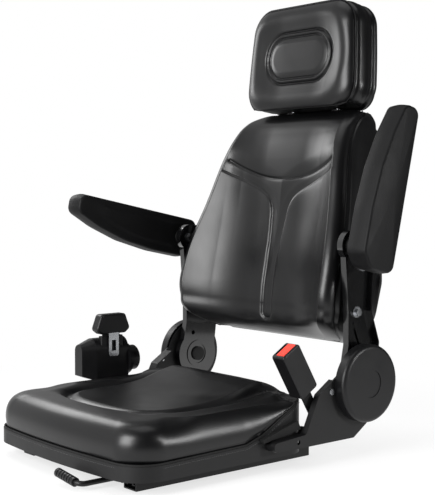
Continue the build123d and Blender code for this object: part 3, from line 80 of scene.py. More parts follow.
def rounded_loop(corners, radii, count):
    """Closed outline with an arc at each corner, as count points evenly spaced along it, and their outward normals."""
    corners = np.asarray(corners, float)
    runs = []
    for i, radius in enumerate(radii):
        here = corners[i]
        back = corners[i - 1] - here
        on = corners[(i + 1) % len(corners)] - here
        back = back / np.linalg.norm(back)
        on = on / np.linalg.norm(on)
        half = np.arccos(np.clip(back @ on, -1, 1)) / 2
        middle = (back + on) / np.linalg.norm(back + on)
        centre = here + middle * radius / sin(half)
        turn = np.linspace(-1, 1, 25) * (pi / 2 - half)
        across = (on - back) / np.linalg.norm(on - back)
        runs.append(centre - radius * np.cos(turn)[:, None] * middle + radius * np.sin(turn)[:, None] * across)
    line = np.concatenate(runs + [runs[0][:1]])
    along = np.r_[0, np.cumsum(np.linalg.norm(np.diff(line, axis=0), axis=1))]
    place = np.linspace(0, along[-1], count, endpoint=False)
    points = np.c_[np.interp(place, along, line[:, 0]), np.interp(place, along, line[:, 1])]
    return points, outward(points)


def outward(points):
    """Outward normals of a closed outline that runs anticlockwise: its direction, turned a right angle."""
    ahead = np.roll(points, -1, axis=0) - np.roll(points, 1, axis=0)
    ahead /= np.linalg.norm(ahead, axis=1)[:, None]
    return np.c_[ahead[:, 1], -ahead[:, 0]]


def skin(name, rings):
    """Closed skin over a stack of closed rings, as an object; the end rings have shrunk to a point each."""
    count, around = rings.shape[:2]
    low = np.arange(count - 1)[:, None] * around
    here = np.arange(around)[None, :]
    there = (here + 1) % around
    quads = np.stack([low + here, low + there, low + around + there, low + around + here], axis=-1).reshape(-1, 4)
    return solid(name, rings.reshape(-1, 3), quads)


def solid(name, points, faces):
    """Object from points in millimetres and faces of equal count, merged where points meet, faces outward."""
    mesh = bpy.data.meshes.new(name)
    mesh.vertices.add(len(points))
    mesh.vertices.foreach_set("co", np.ascontiguousarray(points * MM, np.float32).ravel())
    mesh.loops.add(faces.size)
    mesh.loops.foreach_set("vertex_index", faces.astype(np.int32).ravel())
    mesh.polygons.add(len(faces))
    mesh.polygons.foreach_set("loop_start", np.arange(0, faces.size, faces.shape[1], dtype=np.int32))
    mesh.update(calc_edges=True)
    work = bmesh.new()
    work.from_mesh(mesh)
    bmesh.ops.remove_doubles(work, verts=work.verts, dist=0.01 * MM)
    bmesh.ops.recalc_face_normals(work, faces=work.faces)
    work.to_mesh(mesh)
    work.free()
    mesh.polygons.foreach_set("use_smooth", np.ones(len(mesh.polygons), bool))
    thing = bpy.data.objects.new(name, mesh)
    scene.collection.objects.link(thing)
    return thing


def points_of(thing):
    """Points of an object's mesh in millimetres."""
    flat = np.empty(len(thing.data.vertices) * 3, np.float32)
    thing.data.vertices.foreach_get("co", flat)
    return flat.reshape(-1, 3).astype(float) / MM


def normals_of(thing):
    """Unit normals at the points of an object's mesh."""
    flat = np.empty(len(thing.data.vertices) * 3, np.float32)
    thing.data.vertex_normals.foreach_get("vector", flat)
    return flat.reshape(-1, 3).astype(float)


def put(thing, points):
    """Moves an object's points to the given ones, in millimetres."""
    thing.data.vertices.foreach_set("co", np.ascontiguousarray(points * MM, np.float32).ravel())
    thing.data.update()


def to_line(places, line):
    """Distance of each place from a line of points: the least distance to any of its straight runs."""
    best = np.full(len(places), np.inf)
    for start, end in zip(line[:-1], line[1:]):
        run = end - start
        share = np.clip((places - start) @ run / (run @ run), 0, 1)
        best = np.minimum(best, np.linalg.norm(places - start - share[:, None] * run, axis=1))
    return best


# Simulated fullness: foam pressing out under a sewn cover

def spread(places, movements, at, cell):
    """Movement at some points, from the movements of scattered places: summed over cubes of that size, shared with
    the neighbouring cubes, and read back in proportion between the cubes' middles."""
    low = np.minimum(places.min(0), at.min(0)) - 2 * cell
    size = tuple(np.ceil((np.maximum(places.max(0), at.max(0)) + 2 * cell - low) / cell).astype(int) + 1)
    total = np.zeros(size + (4,))
    where = tuple(np.floor((places - low) / cell).astype(int).T)
    np.add.at(total, where, np.c_[movements, np.ones(len(places))])
    for axis in (0, 1, 2):
        total = (np.roll(total, 1, axis) + 2 * total + np.roll(total, -1, axis)) / 4
    spot = (at - low) / cell - 0.5
    base = np.floor(spot).astype(int)
    share = spot - base
    read = np.zeros((len(at), 4))
    for corner in np.ndindex(2, 2, 2):
        weight = np.prod(np.where(corner, share, 1 - share), axis=1)
        read += weight[:, None] * total[tuple((base + corner).T)]
    return read[:, :3] / np.maximum(read[:, 3:], 1e-6)


def plump(thing, held, cap, voxel=6.0, pressure=4.0, smaller=3.0):
    """Lets a pad swell as a stuffed cover does. A copy that is a little smaller is remeshed evenly, and its skin is
    run as cloth under air pressure with gravity off, held where held(points) says. Each point's movement straight out
    is eased off so that it stays under cap, a fifth is kept of any movement in, and it is carried over to the pad's
    own finer skin."""
    rest = points_of(thing)
    slim = rest - smaller * normals_of(thing) * (~held(rest))[:, None]
    cage = bpy.data.objects.new(thing.name + ".cage", thing.data.copy())
    scene.collection.objects.link(cage)
    put(cage, slim)
    remesh = cage.modifiers.new("even", "REMESH")
    remesh.mode = "VOXEL"
    remesh.voxel_size = voxel * MM
    even = bpy.data.meshes.new_from_object(cage.evaluated_get(bpy.context.evaluated_depsgraph_get()))
    cage.modifiers.clear()
    cage.data = even
    start = points_of(cage)
    pins = cage.vertex_groups.new(name="held")
    pins.add(np.flatnonzero(held(start)).tolist(), 1.0, "REPLACE")
    cloth = cage.modifiers.new("cover", "CLOTH")
    cloth.settings.quality = 5
    cloth.settings.mass = 0.4
    cloth.settings.tension_stiffness = 25
    cloth.settings.compression_stiffness = 25
    cloth.settings.shear_stiffness = 10
    cloth.settings.bending_stiffness = 2
    cloth.settings.use_pressure = True
    cloth.settings.uniform_pressure_force = pressure
    cloth.settings.effector_weights.gravity = 0
    cloth.settings.vertex_group_mass = "held"
    cloth.collision_settings.use_collision = False
    cloth.point_cache.frame_end = 20
    for step in range(1, 21):
        scene.frame_set(step)
    full = bpy.data.meshes.new_from_object(cage.evaluated_get(bpy.context.evaluated_depsgraph_get()))
    flat = np.empty(len(full.vertices) * 3, np.float32)
    full.vertices.foreach_get("co", flat)
    away = normals_of(cage)
    lift = ((flat.reshape(-1, 3) / MM - start) * away).sum(1)
    lift = np.where(lift > 0, 1, 0.2) * lift / (1 + np.abs(lift) / cap)
    put(thing, slim + spread(start, away * lift[:, None], slim, 34.0))
    bpy.data.objects.remove(cage)
    scene.frame_set(1)


# Seat cushion

SEAT_CENTRE = np.array([0.0, -40.0])
SEAT_HALF = 247.0
SEAT_FRONT = -250.0
SEAT_REAR = 160.0
SEAT_BOW = 16.0
CREST = 127.0
UNDERSIDE = 46.0

# The U-shaped valley: half its width, where its arms start to close in front, and how far they go from there
VALLEY_HALF = 158.0
VALLEY_TURN = -75.0
VALLEY_REACH = 103.0


def seat_edge(count):
    """Plan of the seat: a rounded oblong whose front edge bows forward as a parabola, and its outward normals."""
    corners = [(SEAT_HALF, SEAT_FRONT), (SEAT_HALF, SEAT_REAR), (-SEAT_HALF, SEAT_REAR), (-SEAT_HALF, SEAT_FRONT)]
    edge, _ = rounded_loop(corners, [65, 45, 45, 65], count)
    edge[:, 1] -= SEAT_BOW * (1 - (edge[:, 0] / SEAT_HALF) ** 2) * soft_step(-80, -200, edge[:, 1])
    return edge, outward(edge)


def trim_height(y):
    """Height of the trim line along the seat: level in front, climbing steeply at the rear."""
    return np.interp(y, [-201, 0, 40, 138], [56, 60, 73, 128])


def seat_top(x, y, to_crest):
    """Height of the seat's upper face. A U-shaped valley runs round a dished pillow. Inside it the pillow's edge
    rolls up over 22 mm and its middle dips as a parabola; outside it the face swells over a shoulder to the crest, at
    to_crest millimetres from the point."""
    ahead = np.maximum(VALLEY_TURN - y, 0) / VALLEY_REACH
    ratio = ((np.abs(x) / VALLEY_HALF) ** 2.6 + ahead ** 2.6) ** (1 / 2.6)
    reach = np.hypot(x, VALLEY_REACH * ahead)
    out = reach - np.where(ratio > 0.01, reach / np.maximum(ratio, 0.01), VALLEY_HALF)
    valley = flow(y, [-178, -60, 20, 80, 120, 165], [115, 114, 116, 124, 131, 134])
    pillow = flow(y, [-178, -100, -20, 50, 95, 130, 165], [124, 124, 125, 133, 146, 153, 145])
    shoulder = flow(y, [-266, -60, 60, 140, 165], [CREST, CREST, 129, 138, 137])
    gone = np.sqrt(out ** 2 + 9) - 3
    inside = np.clip(gone / 22, 0, 1)
    outside = gone / (gone + to_crest + 1e-6)
    dish = 7 * np.clip(1 - ratio ** 2, 0, 1) * soft_step(120, 20, y)
    hollow = valley + (pillow - valley) * (1 - (1 - inside) ** 2) - dish
    swell = valley + (shoulder - valley) * (1 - (1 - np.clip(outside / 0.55, 0, 1)) ** 2)
    return np.where(out < 0, hollow, swell - (shoulder - CREST) * soft_step(0.6, 1, outside))


def seat_cushion():
    """Seat cushion as rings from under its middle, out to the trim line, up the wall and over to the middle of the
    top. The wall is part of a superellipse: a full quarter with a broad roll in front, and at the sides a narrow one
    cut off short, so that it meets the top at a crest."""
    edge, out = seat_edge(460)
    y = edge[:, 1]
    front = 1 - soft_step(-222, -90, y)
    rear = soft_step(105, 150, y)
    trim = trim_height(y) + 2
    inward = SEAT_CENTRE - edge
    inward /= np.linalg.norm(inward, axis=1)[:, None]
    square = np.maximum(-(inward * out).sum(1), 0.6)
    width = 56 * front + (23 + 6 * rear) * (1 - front)
    power = 2 / (3.0 * front + 2.1 * (1 - front))
    most = pi / 2 * front + 1.02 * (1 - front)
    crest = edge + inward * (width / square)[:, None]
    top = seat_top(*crest.T, np.zeros(len(edge)))
    under = edge + inward * (4.5 / square)[:, None]
    base = np.full(len(edge), UNDERSIDE)
    rings = [np.c_[SEAT_CENTRE + (under - SEAT_CENTRE) * share, base] for share in (0, 0.3, 0.6, 1)]
    rings.append(np.c_[edge + inward * (4.2 / square)[:, None], trim - 0.6])
    for q in np.linspace(0, 1, 44):
        over = (1 - np.cos(q * most) ** power) / (1 - np.cos(most) ** power)
        rise = np.sin(q * most) ** power / np.sin(most) ** power
        full = 2.4 * np.sin(pi * np.clip(rise, 0, 1)) * np.clip((top - trim) / 60, 0, 1)
        inset = width * over - full + 3.4 * (1 - rise) ** 14
        rings.append(np.c_[edge + inward * (inset / square)[:, None], trim + (top - trim) * rise])
    span = np.linalg.norm(SEAT_CENTRE - crest, axis=1) * square
    for share in np.linspace(0, 1, 96)[1:] ** 1.25:
        plan = crest + (SEAT_CENTRE - crest) * share
        rings.append(np.c_[plan, seat_top(*plan.T, share * span)])
    return skin("seat_cushion_cover", np.array(rings))


# Backrest

BACK_LEAN = radians(11)
BACK_FOOT = np.array([0, 262.0, 228.0])
BACK_HEIGHT = 495.0
BACK_DEPTH = 92.0
STEM_HALF = 15.5
STEM_FOOT = 42.0


def leaning(foot, lean, u, v, w):
    """Points of a leaning pad: u across it, v up it and w forward of its face."""
    up = np.array([0, sin(lean), cos(lean)])
    fore = np.array([0, -cos(lean), sin(lean)])
    side = np.array([1.0, 0, 0])
    return foot + np.asarray(u)[..., None] * side + np.asarray(v)[..., None] * up + np.asarray(w)[..., None] * fore


def backrest():
    """Backrest as level sections stacked up it. Each section has a face that rises as a parabola to a bolster ridge
    near its side, a tight quarter-ellipse edge, a seam behind it, a side panel that bulges, and a flat rear."""
    bunched = BACK_HEIGHT * (0.5 - 0.5 * np.cos(np.linspace(0, 1, 290) * pi))
    v = 0.45 * bunched + 0.55 * np.linspace(0, BACK_HEIGHT, 290)
    half = flow(v, [0, 4, 9, 16, 30, 60, 134, 297, 435, 460, 477, 487, 492, 495],
                [190, 206, 217, 226, 234.5, 240, 240, 209, 178, 173, 167, 158, 151, 143])
    bolster = flow(v, [0, 16, 60, 134, 297, 435, 477, 495], [10, 42, 62, 63, 41, 15, 0, 0])
    front = flow(v, [0, 4, 9, 16, 30, 60, 247, 435, 455, 468, 477, 487, 495],
                 [-34, -24, -16.5, -10, -3.5, 0, 0, 0, -3, -9, -17, -31, -44])[:, None]
    a = half[:, None]
    ridge = front + bolster[:, None]
    edge = 24.0
    drop = 21.0
    share = np.linspace(0, 1, 96)
    turn = np.linspace(0, pi / 2, 17)[1:]
    back = np.array([0.02, 0.04, 0.06, 0.075, 0.09, 0.105, 0.12, 0.14, 0.17, 0.22, 0.32, 0.45, 0.6, 0.75, 0.88, 1])
    seam = -3.4 * np.exp(-((back - 0.075) / 0.022) ** 2) + 1.6 * np.exp(-((back - 0.15) / 0.05) ** 2)
    u = (a - edge) * share
    rise = np.clip((u - 55) / (a - 55 - edge), 0, 1) ** 2
    w = front + bolster[:, None] * rise
    corner_u = a - edge + edge * np.sin(turn)
    corner_w = ridge - drop + drop * np.cos(turn)
    side_u = a + seam - 9 * back ** 3 + 2.5 * np.sin(back * pi)
    side_w = ridge - drop - (BACK_DEPTH + ridge - drop) * back
    rear_u = (a - 14) * np.linspace(1, 0, 14)
    rear_w = np.full_like(rear_u, -BACK_DEPTH)
    right_u = np.concatenate([u, corner_u, side_u, rear_u], axis=1)
    right_w = np.concatenate([w, corner_w, side_w, rear_w], axis=1)
    ring_u = np.concatenate([right_u, -right_u[:, -2:0:-1]], axis=1)
    ring_w = np.concatenate([right_w, right_w[:, -2:0:-1]], axis=1)
    middle = (ridge - BACK_DEPTH) / 2
    shrink = np.array([0, 0.5, 0.85])[:, None]
    full_u = np.concatenate([ring_u[:1] * shrink, ring_u, ring_u[-1:] * shrink[::-1]])
    full_w = np.concatenate([middle[:1] + (ring_w[:1] - middle[:1]) * shrink, ring_w,
                             middle[-1:] + (ring_w[-1:] - middle[-1:]) * shrink[::-1]])
    full_v = np.r_[-1.5 * (1 - shrink[:, 0]), v, BACK_HEIGHT + 1.5 * (1 - shrink[::-1, 0])]
    full_v = np.repeat(full_v[:, None], full_u.shape[1], axis=1)
    return skin("backrest_cover", leaning(BACK_FOOT, BACK_LEAN, full_u, full_v, full_w))


def on_back(points):
    """Where points lie on the backrest: u across, v up and w forward of its face."""
    gap = points - BACK_FOOT
    up = np.array([0, sin(BACK_LEAN), cos(BACK_LEAN)])
    fore = np.array([0, -cos(BACK_LEAN), sin(BACK_LEAN)])
    return gap[:, 0], gap @ up, gap @ fore


def press_back(thing):
    """Sinks the Y-shaped middle panel between the padded ones, with a sewn crease along its edge, and presses an arc
    over the shoulders. The panel's edge is one line: down a branch, round the foot of the stem and up the other."""
    points = points_of(thing)
    u, v, w = on_back(points)
    face = np.c_[u, v]
    way = np.linspace(0, 1, 60)
    across = flow(way, [0, 0.2, 0.3, 0.36, 0.42, 0.5, 1], [172, 90, 54, 37, 26, 21.5, STEM_HALF])
    down = flow(way, [0, 0.2, 0.3, 0.36, 0.42, 0.5, 1], [350, 321, 305, 292, 272, 240, STEM_FOOT])
    turn = np.linspace(0, pi, 15)[1:-1]
    end = np.c_[STEM_HALF * np.cos(turn), STEM_FOOT - STEM_HALF * np.sin(turn)]
    line = np.concatenate([np.c_[across, down], end, np.c_[-across[::-1], down[::-1]]])
    foot = STEM_FOOT - np.sqrt(np.maximum(STEM_HALF ** 2 - u ** 2, 0))
    bound = np.where(np.abs(u) < STEM_HALF, foot, np.interp(np.abs(u), across[::-1], down[::-1]))
    away = to_line(face, line) * np.where(v > bound, -1, 1)
    ends = soft_step(186, 150, np.abs(u))
    sunk = -3.6 * soft_step(3.2, -2.4, away) * soft_step(-60, -18, away)
    pillow = -1.5 * np.exp(-np.maximum(away, 0) / 9) * (away > 0)
    pillow -= 1.5 * soft_step(0.0, -3.0, away) * soft_step(-20, -3, away)
    crease = -1.9 * np.exp(-((away + 1.2) / 1.5) ** 2)
    t = np.linspace(-1, 1, 41)
    arc = to_line(face, np.c_[160 * t, 334 + 41 * t ** 2])
    shoulder = -3.0 * np.exp(-((arc / 2.0) ** 2)) - 1.6 * np.exp(-arc / 7)
    facing = soft_step(0.2, 0.6, normals_of(thing) @ np.array([0, -cos(BACK_LEAN), sin(BACK_LEAN)]))
    height = (sunk + pillow + crease) * ends + shoulder
    put(thing, points + normals_of(thing) * (height * facing)[:, None])


# Headrest

HEAD_LEAN = radians(4.5)
HEAD_FOOT = leaning(BACK_FOOT, BACK_LEAN, 0.0, 489.3, -6.8)
HEAD_DEPTH = 80.0
COLLAR_TOP = 499.6
HEAD_MIDDLE = 118.0
STADIUM_HALF = 46.0
STADIUM_RADIUS = 56.0


def bun(name, edge, out, centre, profile, place):
    """Pad over an outline: rings from the middle of its face out to the edge, round it and in to the middle of its
    rear. The profile gives each ring's share of the way to the edge, its inset from the edge and its depth."""
    rings = []
    for share, inset, depth in profile:
        rim = edge - out * inset
        plan = centre + (rim - centre) * share
        rings.append(place(plan[:, 0], plan[:, 1], np.full(len(edge), depth)))
    return skin(name, np.array(rings))


def on_head(u, v, w):
    """Place on the headrest, kept above the collars that its posts slide in behind its front roll."""
    points = leaning(HEAD_FOOT, HEAD_LEAN, u, v, w)
    up = np.array([0, sin(BACK_LEAN), cos(BACK_LEAN)])
    low = COLLAR_TOP - (points - BACK_FOOT) @ up
    return points + (np.maximum(low, 0) * soft_step(8, -14, w))[:, None] * up


def head_edge(count):
    """Front view of the headrest: a rounded trapezium a little narrower at the top, its sides bowed out by 3 mm."""
    edge, out = rounded_loop([(-167, -3), (167, -3), (152, 234), (-152, 234)], [56] * 4, count)
    edge[:, 0] *= 1 + 0.022 * np.cos((edge[:, 1] - 105) / 135 * pi / 2)
    return edge, outward(edge)


def headrest():
    """Headrest pad: a broad rim stands forward round its face, rolls over a quarter-ellipse to a sewn crease, and
    behind that the side bulges and steps in to the zip band."""
    edge, out = head_edge(400)
    rows = [(s, 40.0, 14.0) for s in np.linspace(0, 1, 66)]
    rows += [(1, 40 * (1 - sin(t)), 14 - 23 * (1 - cos(t))) for t in np.linspace(0, pi / 2, 24)[1:]]
    depth = np.r_[np.linspace(-8, -30, 16), np.linspace(-34, -80, 26)]
    inset = flow(depth, [-80, -78, -66, -63, -60, -45, -30, -20, -14, -8],
                 [7, 5, 4.5, 6.5, 2.5, -2.0, -3.0, -0.5, 3.0, 0.2])
    rows += [(1, i, d) for i, d in zip(inset, depth)]
    rows += [(s, 7.0, -HEAD_DEPTH) for s in np.linspace(1, 0, 8)[1:]]
    return bun("headrest_cover", edge, out, np.array([0, HEAD_MIDDLE]), rows, on_head)


def press_head(thing):
    """Dishes the headrest's face in towards a stadium, and presses two channels round it with a bead between."""
    points = points_of(thing)
    gap = points - HEAD_FOOT
    up = np.array([0, sin(HEAD_LEAN), cos(HEAD_LEAN)])
    fore = np.array([0, -cos(HEAD_LEAN), sin(HEAD_LEAN)])
    u = gap[:, 0]
    v = gap @ up - HEAD_MIDDLE
    stadium = np.hypot(np.maximum(np.abs(u) - STADIUM_HALF, 0), v) - STADIUM_RADIUS
    facing = soft_step(0.3, 0.7, normals_of(thing) @ fore)
    height = -12 * soft_step(54, -10, stadium)
    height -= 4.5 * np.exp(-((stadium - 1) / 2.4) ** 2)
    height += 2.6 * np.exp(-((stadium + 5) / 2.6) ** 2)
    height -= 3.2 * np.exp(-((stadium + 10.5) / 1.9) ** 2)
    height += 2.5 * soft_step(-11, -26, stadium)
    put(thing, points + fore * (height * facing)[:, None])


# Armrests and rear panels

ARM_PIVOT = np.array([0, 263.0, 423.0])
ARM_OUTER = 345.0


def armrest_profile(front, rear, edge, crown):
    """Profile of an armrest from its outer face to its inner one: a parabolic crown, a quarter-circle edge, a side
    that bulges by 2 mm as half a sine wave, then the edge and the crown again."""
    top = front - edge
    low = rear + edge
    rows = [(s, edge, front + crown * (1 - s * s)) for s in np.linspace(0, 1, 26)]
    rows += [(1, edge * (1 - sin(t)), front - edge * (1 - cos(t))) for t in np.linspace(0, pi / 2, 14)[1:]]
    for depth in np.linspace(top, low, int((top - low) / 1.6))[1:]:
        rows.append((1, -2.0 * sin(pi * (top - depth) / (top - low)), depth))
    rows += [(1, edge * (1 - cos(t)), low - edge * sin(t)) for t in np.linspace(0, pi / 2, 9)[1:]]
    rows += [(s, edge, rear - crown * (1 - s * s)) for s in np.linspace(1, 0, 12)[1:]]
    return rows


def armrest(name, side, angle):
    """Armrest pad: its side view, with a straight top and a belly that deepens to the pivot, carried across 62 mm
    and rounded at both faces."""
    corners = [(-48, 48), (-48, -21), (-19, -46), (69, -46), (150, -38), (225, -20), (289, 4), (289, 48)]
    edge, out = rounded_loop(corners, [20, 20, 20, 150, 150, 150, 20, 20], 300)
    along = np.array([0, -cos(radians(angle)), sin(radians(angle))])
    above = np.array([0, sin(radians(angle)), cos(radians(angle))])

    def place(u, v, depth):
        """Point at u along the armrest and v above its pivot; depth is counted from the outer face."""
        across = np.array([side, 0, 0]) * (ARM_OUTER + depth)[:, None]
        return across + ARM_PIVOT + u[:, None] * along + v[:, None] * above

    return bun(name, edge, out, np.array([110.0, 6.0]), armrest_profile(-4, -58, 8, 4), place)


def back_panel():
    """Padded rear panel of the backrest, crowned to the rear."""
    corners = [(-218, 28), (218, 28), (226, 134), (164, 467), (-164, 467), (-226, 134)]
    edge, out = rounded_loop(corners, [50] * 6, 320)
    profile = [(s, 0.0, -92.4) for s in np.linspace(0, 1, 8)]
    profile += [(1, 11 * (1 - cos(t)), -96 - 10 * sin(t)) for t in np.linspace(0, pi / 2, 12)]
    profile += [(s, 11.0, -106 - 7 * (1 - s ** 4)) for s in np.linspace(1, 0, 40)[1:]]
    return bun("backrest_rear_panel", edge, out, np.array([0, 240.0]), profile,
               lambda u, v, w: leaning(BACK_FOOT, BACK_LEAN, u, v, w))


def head_panel():
    """Padded rear panel of the headrest, crowned to the rear."""
    edge, out = rounded_loop([(-147, 10), (147, 10), (132, 219), (-132, 219)], [32] * 4, 260)
    profile = [(s, 0.0, -80.4) for s in np.linspace(0, 1, 8)]
    profile += [(1, 9 * (1 - cos(t)), -84 - 8 * sin(t)) for t in np.linspace(0, pi / 2, 12)]
    profile += [(s, 9.0, -92 - 4 * (1 - s ** 4)) for s in np.linspace(1, 0, 30)[1:]]
    return bun("headrest_rear_panel", edge, out, np.array([0, HEAD_MIDDLE]), profile, on_head)


# Belt webbing and stitches

def belt_webbing():
    """Free end of the belt: a flat band with rounded selvedges, run up from the roll into the tongue's grip."""
    half = 23.5
    middle = 54.0
    x = -272.1
    turn = np.linspace(0, 2 * pi, 32, endpoint=False)
    across = np.sign(np.cos(turn)) * np.abs(np.cos(turn)) ** 0.35 * half
    thick = np.sign(np.sin(turn)) * np.abs(np.sin(turn)) ** 0.8 * 0.62
    heights = np.r_[152, np.linspace(152, 235, 48), 235]
    size = np.r_[0, np.ones(48), 0]
    rings = np.stack([
        x + thick[None, :] * size[:, None],
        middle + across[None, :] * size[:, None],
        np.repeat(heights[:, None], len(turn), axis=1),
    ], axis=-1)
    return skin("belt_webbing", rings)


def stitch_row(name, places, ahead, out, length, width, height):
    """Row of stitches: at each place a small bean, long along the row, six-sided and pinched at both ends."""
    turn = np.linspace(0, 2 * pi, 6, endpoint=False)
    along = np.array([-0.5, -0.32, 0, 0.32, 0.5])
    girth = np.array([0.0, 0.8, 1, 0.8, 0.0])
    up = np.cross(out, ahead)
    bean = (ahead[:, None, None] * (along * length)[None, :, None, None]
            + up[:, None, None] * (girth[:, None] * np.cos(turn) * width / 2)[None, :, :, None]
            + out[:, None, None] * (girth[:, None] * np.sin(turn) * height / 2)[None, :, :, None])
    bean += places[:, None, None]
    count = len(places)
    low = np.arange(count)[:, None, None] * 30 + np.arange(4)[None, :, None] * 6
    here = np.arange(6)[None, None, :]
    there = (here + 1) % 6
    quads = np.stack([low + here, low + there, low + 6 + there, low + 6 + here], axis=-1).reshape(-1, 4)
    return solid(name, bean.reshape(-1, 3), quads)


def pan_stitches():
    """Stitching along the pan's covering, 6 mm below the trim line and 5 mm from stitch to stitch."""
    edge, out = seat_edge(346)
    edge = edge + out * 0.1
    points = np.c_[edge, trim_height(edge[:, 1]) - 7]
    ahead = np.roll(points, -1, axis=0) - np.roll(points, 1, axis=0)
    ahead /= np.linalg.norm(ahead, axis=1)[:, None]
    return stitch_row("pan_stitches", points, ahead, np.c_[out, np.zeros(len(out))], 3.6, 1.3, 1.0)


def zip_teeth():
    """Zip round the side of the headrest near its rear: teeth as beans across the band, 3 mm apart."""
    edge, out = head_edge(330)
    edge = edge - out * 4.6
    points = on_head(edge[:, 0], edge[:, 1], np.full(len(edge), -72.0))
    rear = on_head(edge[:, 0], edge[:, 1], np.full(len(edge), -73.0)) - points
    rear /= np.linalg.norm(rear, axis=1)[:, None]
    away = np.c_[out[:, 0], out[:, 1] * sin(HEAD_LEAN), out[:, 1] * cos(HEAD_LEAN)]
    return stitch_row("headrest_zip_teeth", points, rear, away, 6.0, 1.8, 2.2)


# Finishes

def linear(code):
    """Linear colour of an sRGB hex code."""
    part = np.array([int(code[i:i + 2], 16) for i in (1, 3, 5)]) / 255
    part = np.where(part <= 0.04045, part / 12.92, ((part + 0.055) / 1.055) ** 2.4)
    return (*part.tolist(), 1.0)


def add(tree, kind, inputs=None, feeds=None, **settings):
    """Adds a node with its settings. An input is set, or linked where a socket is given, and the first output that is
    in use goes on to the socket it feeds."""
    made = tree.nodes.new(kind)
    for key, value in settings.items():
        setattr(made, key, value)
    for key, value in (inputs or {}).items():
        if isinstance(value, bpy.types.NodeSocket):
            tree.links.new(value, made.inputs[key])
        else:
            made.inputs[key].default_value = value
    if feeds is not None:
        tree.links.new(next(socket for socket in made.outputs if socket.enabled), feeds)
    return made


def finish(name, patch, dark, light, rough=None, **plain):
    """New material. Its colour drifts between two tones in patches of about patch millimetres, and its roughness with
    it where two values are given. Gives the material, its tree, shader, coordinates and the drift."""
    material = bpy.data.materials.new(name)
    material.use_nodes = True
    tree = material.node_tree
    shader = tree.nodes["Principled BSDF"]
    for key, value in plain.items():
        shader.inputs[key.replace("_", " ")].default_value = value
    place = add(tree, "ShaderNodeTexCoord").outputs["Object"]
    noise = add(tree, "ShaderNodeTexNoise", {"Vector": place, "Scale": 1 / (patch * MM), "Detail": 3.0})
    drift = noise.outputs["Fac"]
    add(tree, "ShaderNodeMix", {"Factor": drift, "A": linear(dark), "B": linear(light)},
        shader.inputs["Base Color"], data_type="RGBA")
    if rough:
        add(tree, "ShaderNodeMapRange",
            {"Value": drift, "From Min": 0.25, "From Max": 0.75, "To Min": rough[0], "To Max": rough[1]},
            shader.inputs["Roughness"])
    return material, tree, shader, place, drift


def leather_cloth():
    """Black PVC leathercloth, embossed with a fine pebble and wiped clean: black, with a broad satin sheen."""
    material, tree, shader, place, _ = finish("black_leathercloth", 60, "#060607", "#09090a", (0.29, 0.35),
                                              Specular_IOR_Level=0.42)
    pebble = add(tree, "ShaderNodeTexVoronoi", {"Vector": place, "Scale": 1 / (1.8 * MM)}, feature="SMOOTH_F1")
    add(tree, "ShaderNodeBump", {"Height": pebble.outputs["Distance"], "Strength": 0.10, "Distance": 0.25 * MM},
        shader.inputs["Normal"])
    return material


def moulded_skin():
    """Integral-skin polyurethane foam from a grained mould: deep matt black with a coarse pebble."""
    material, tree, shader, place, _ = finish("integral_skin_foam", 40, "#060607", "#0a0a0b", (0.50, 0.60),
                                              Specular_IOR_Level=0.2)
    pebble = add(tree, "ShaderNodeTexVoronoi", {"Vector": place, "Scale": 1 / (2.4 * MM)}, feature="SMOOTH_F1")
    add(tree, "ShaderNodeBump", {"Height": pebble.outputs["Distance"], "Strength": 0.35, "Distance": 0.5 * MM},
        shader.inputs["Normal"])
    return material


def gloss_enamel():
    """Pressed steel under gloss black stoving enamel: mirror-like, with a faint orange peel."""
    material, tree, shader, place, _ = finish("gloss_black_enamel", 30, "#040405", "#070708", (0.16, 0.22),
                                              Coat_Weight=1.0, Coat_Roughness=0.06)
    peel = add(tree, "ShaderNodeTexNoise", {"Vector": place, "Scale": 1 / (5 * MM), "Detail": 2.0})
    add(tree, "ShaderNodeBump", {"Height": peel.outputs["Fac"], "Strength": 0.12, "Distance": 0.25 * MM},
        shader.inputs["Normal"])
    return material


def powder_coat():
    """Steel under matt black powder coat: even and soft, with a fine grit."""
    material, tree, shader, place, _ = finish("matt_black_powder_coat", 40, "#070708", "#0b0b0c", (0.42, 0.52),
                                              Specular_IOR_Level=0.35)
    grit = add(tree, "ShaderNodeTexNoise", {"Vector": place, "Scale": 1 / (1.5 * MM), "Detail": 3.0})
    add(tree, "ShaderNodeBump", {"Height": grit.outputs["Fac"], "Strength": 0.2, "Distance": 0.2 * MM},
        shader.inputs["Normal"])
    return material


def zinc_plate():
    """Bright zinc-plated steel: pale blue-grey metal with a cloudy passivation."""
    material, tree, shader, _, drift = finish("bright_zinc_plate", 14, "#c2c4c8", "#cfd1d4", (0.22, 0.30),
                                              Metallic=1.0)
    add(tree, "ShaderNodeBump", {"Height": drift, "Strength": 0.1, "Distance": 0.1 * MM}, shader.inputs["Normal"])
    return material


def chrome():
    """Polished chromium plate: a clear mirror, a little duller in places from handling."""
    return finish("polished_chrome", 12, "#c9cbce", "#dcdde0", (0.06, 0.12), Metallic=1.0)[0]


def moulded_plastic():
    """Black polypropylene from a spark-eroded mould: charcoal black with a fine even grain."""
    material, tree, shader, place, _ = finish("black_moulded_plastic", 25, "#08080a", "#0d0d0e", (0.36, 0.46),
                                              Specular_IOR_Level=0.35)
    grain = add(tree, "ShaderNodeTexNoise", {"Vector": place, "Scale": 1 / (1.2 * MM), "Detail": 2.0})
    add(tree, "ShaderNodeBump", {"Height": grain.outputs["Fac"], "Strength": 0.22, "Distance": 0.2 * MM},
        shader.inputs["Normal"])
    return material


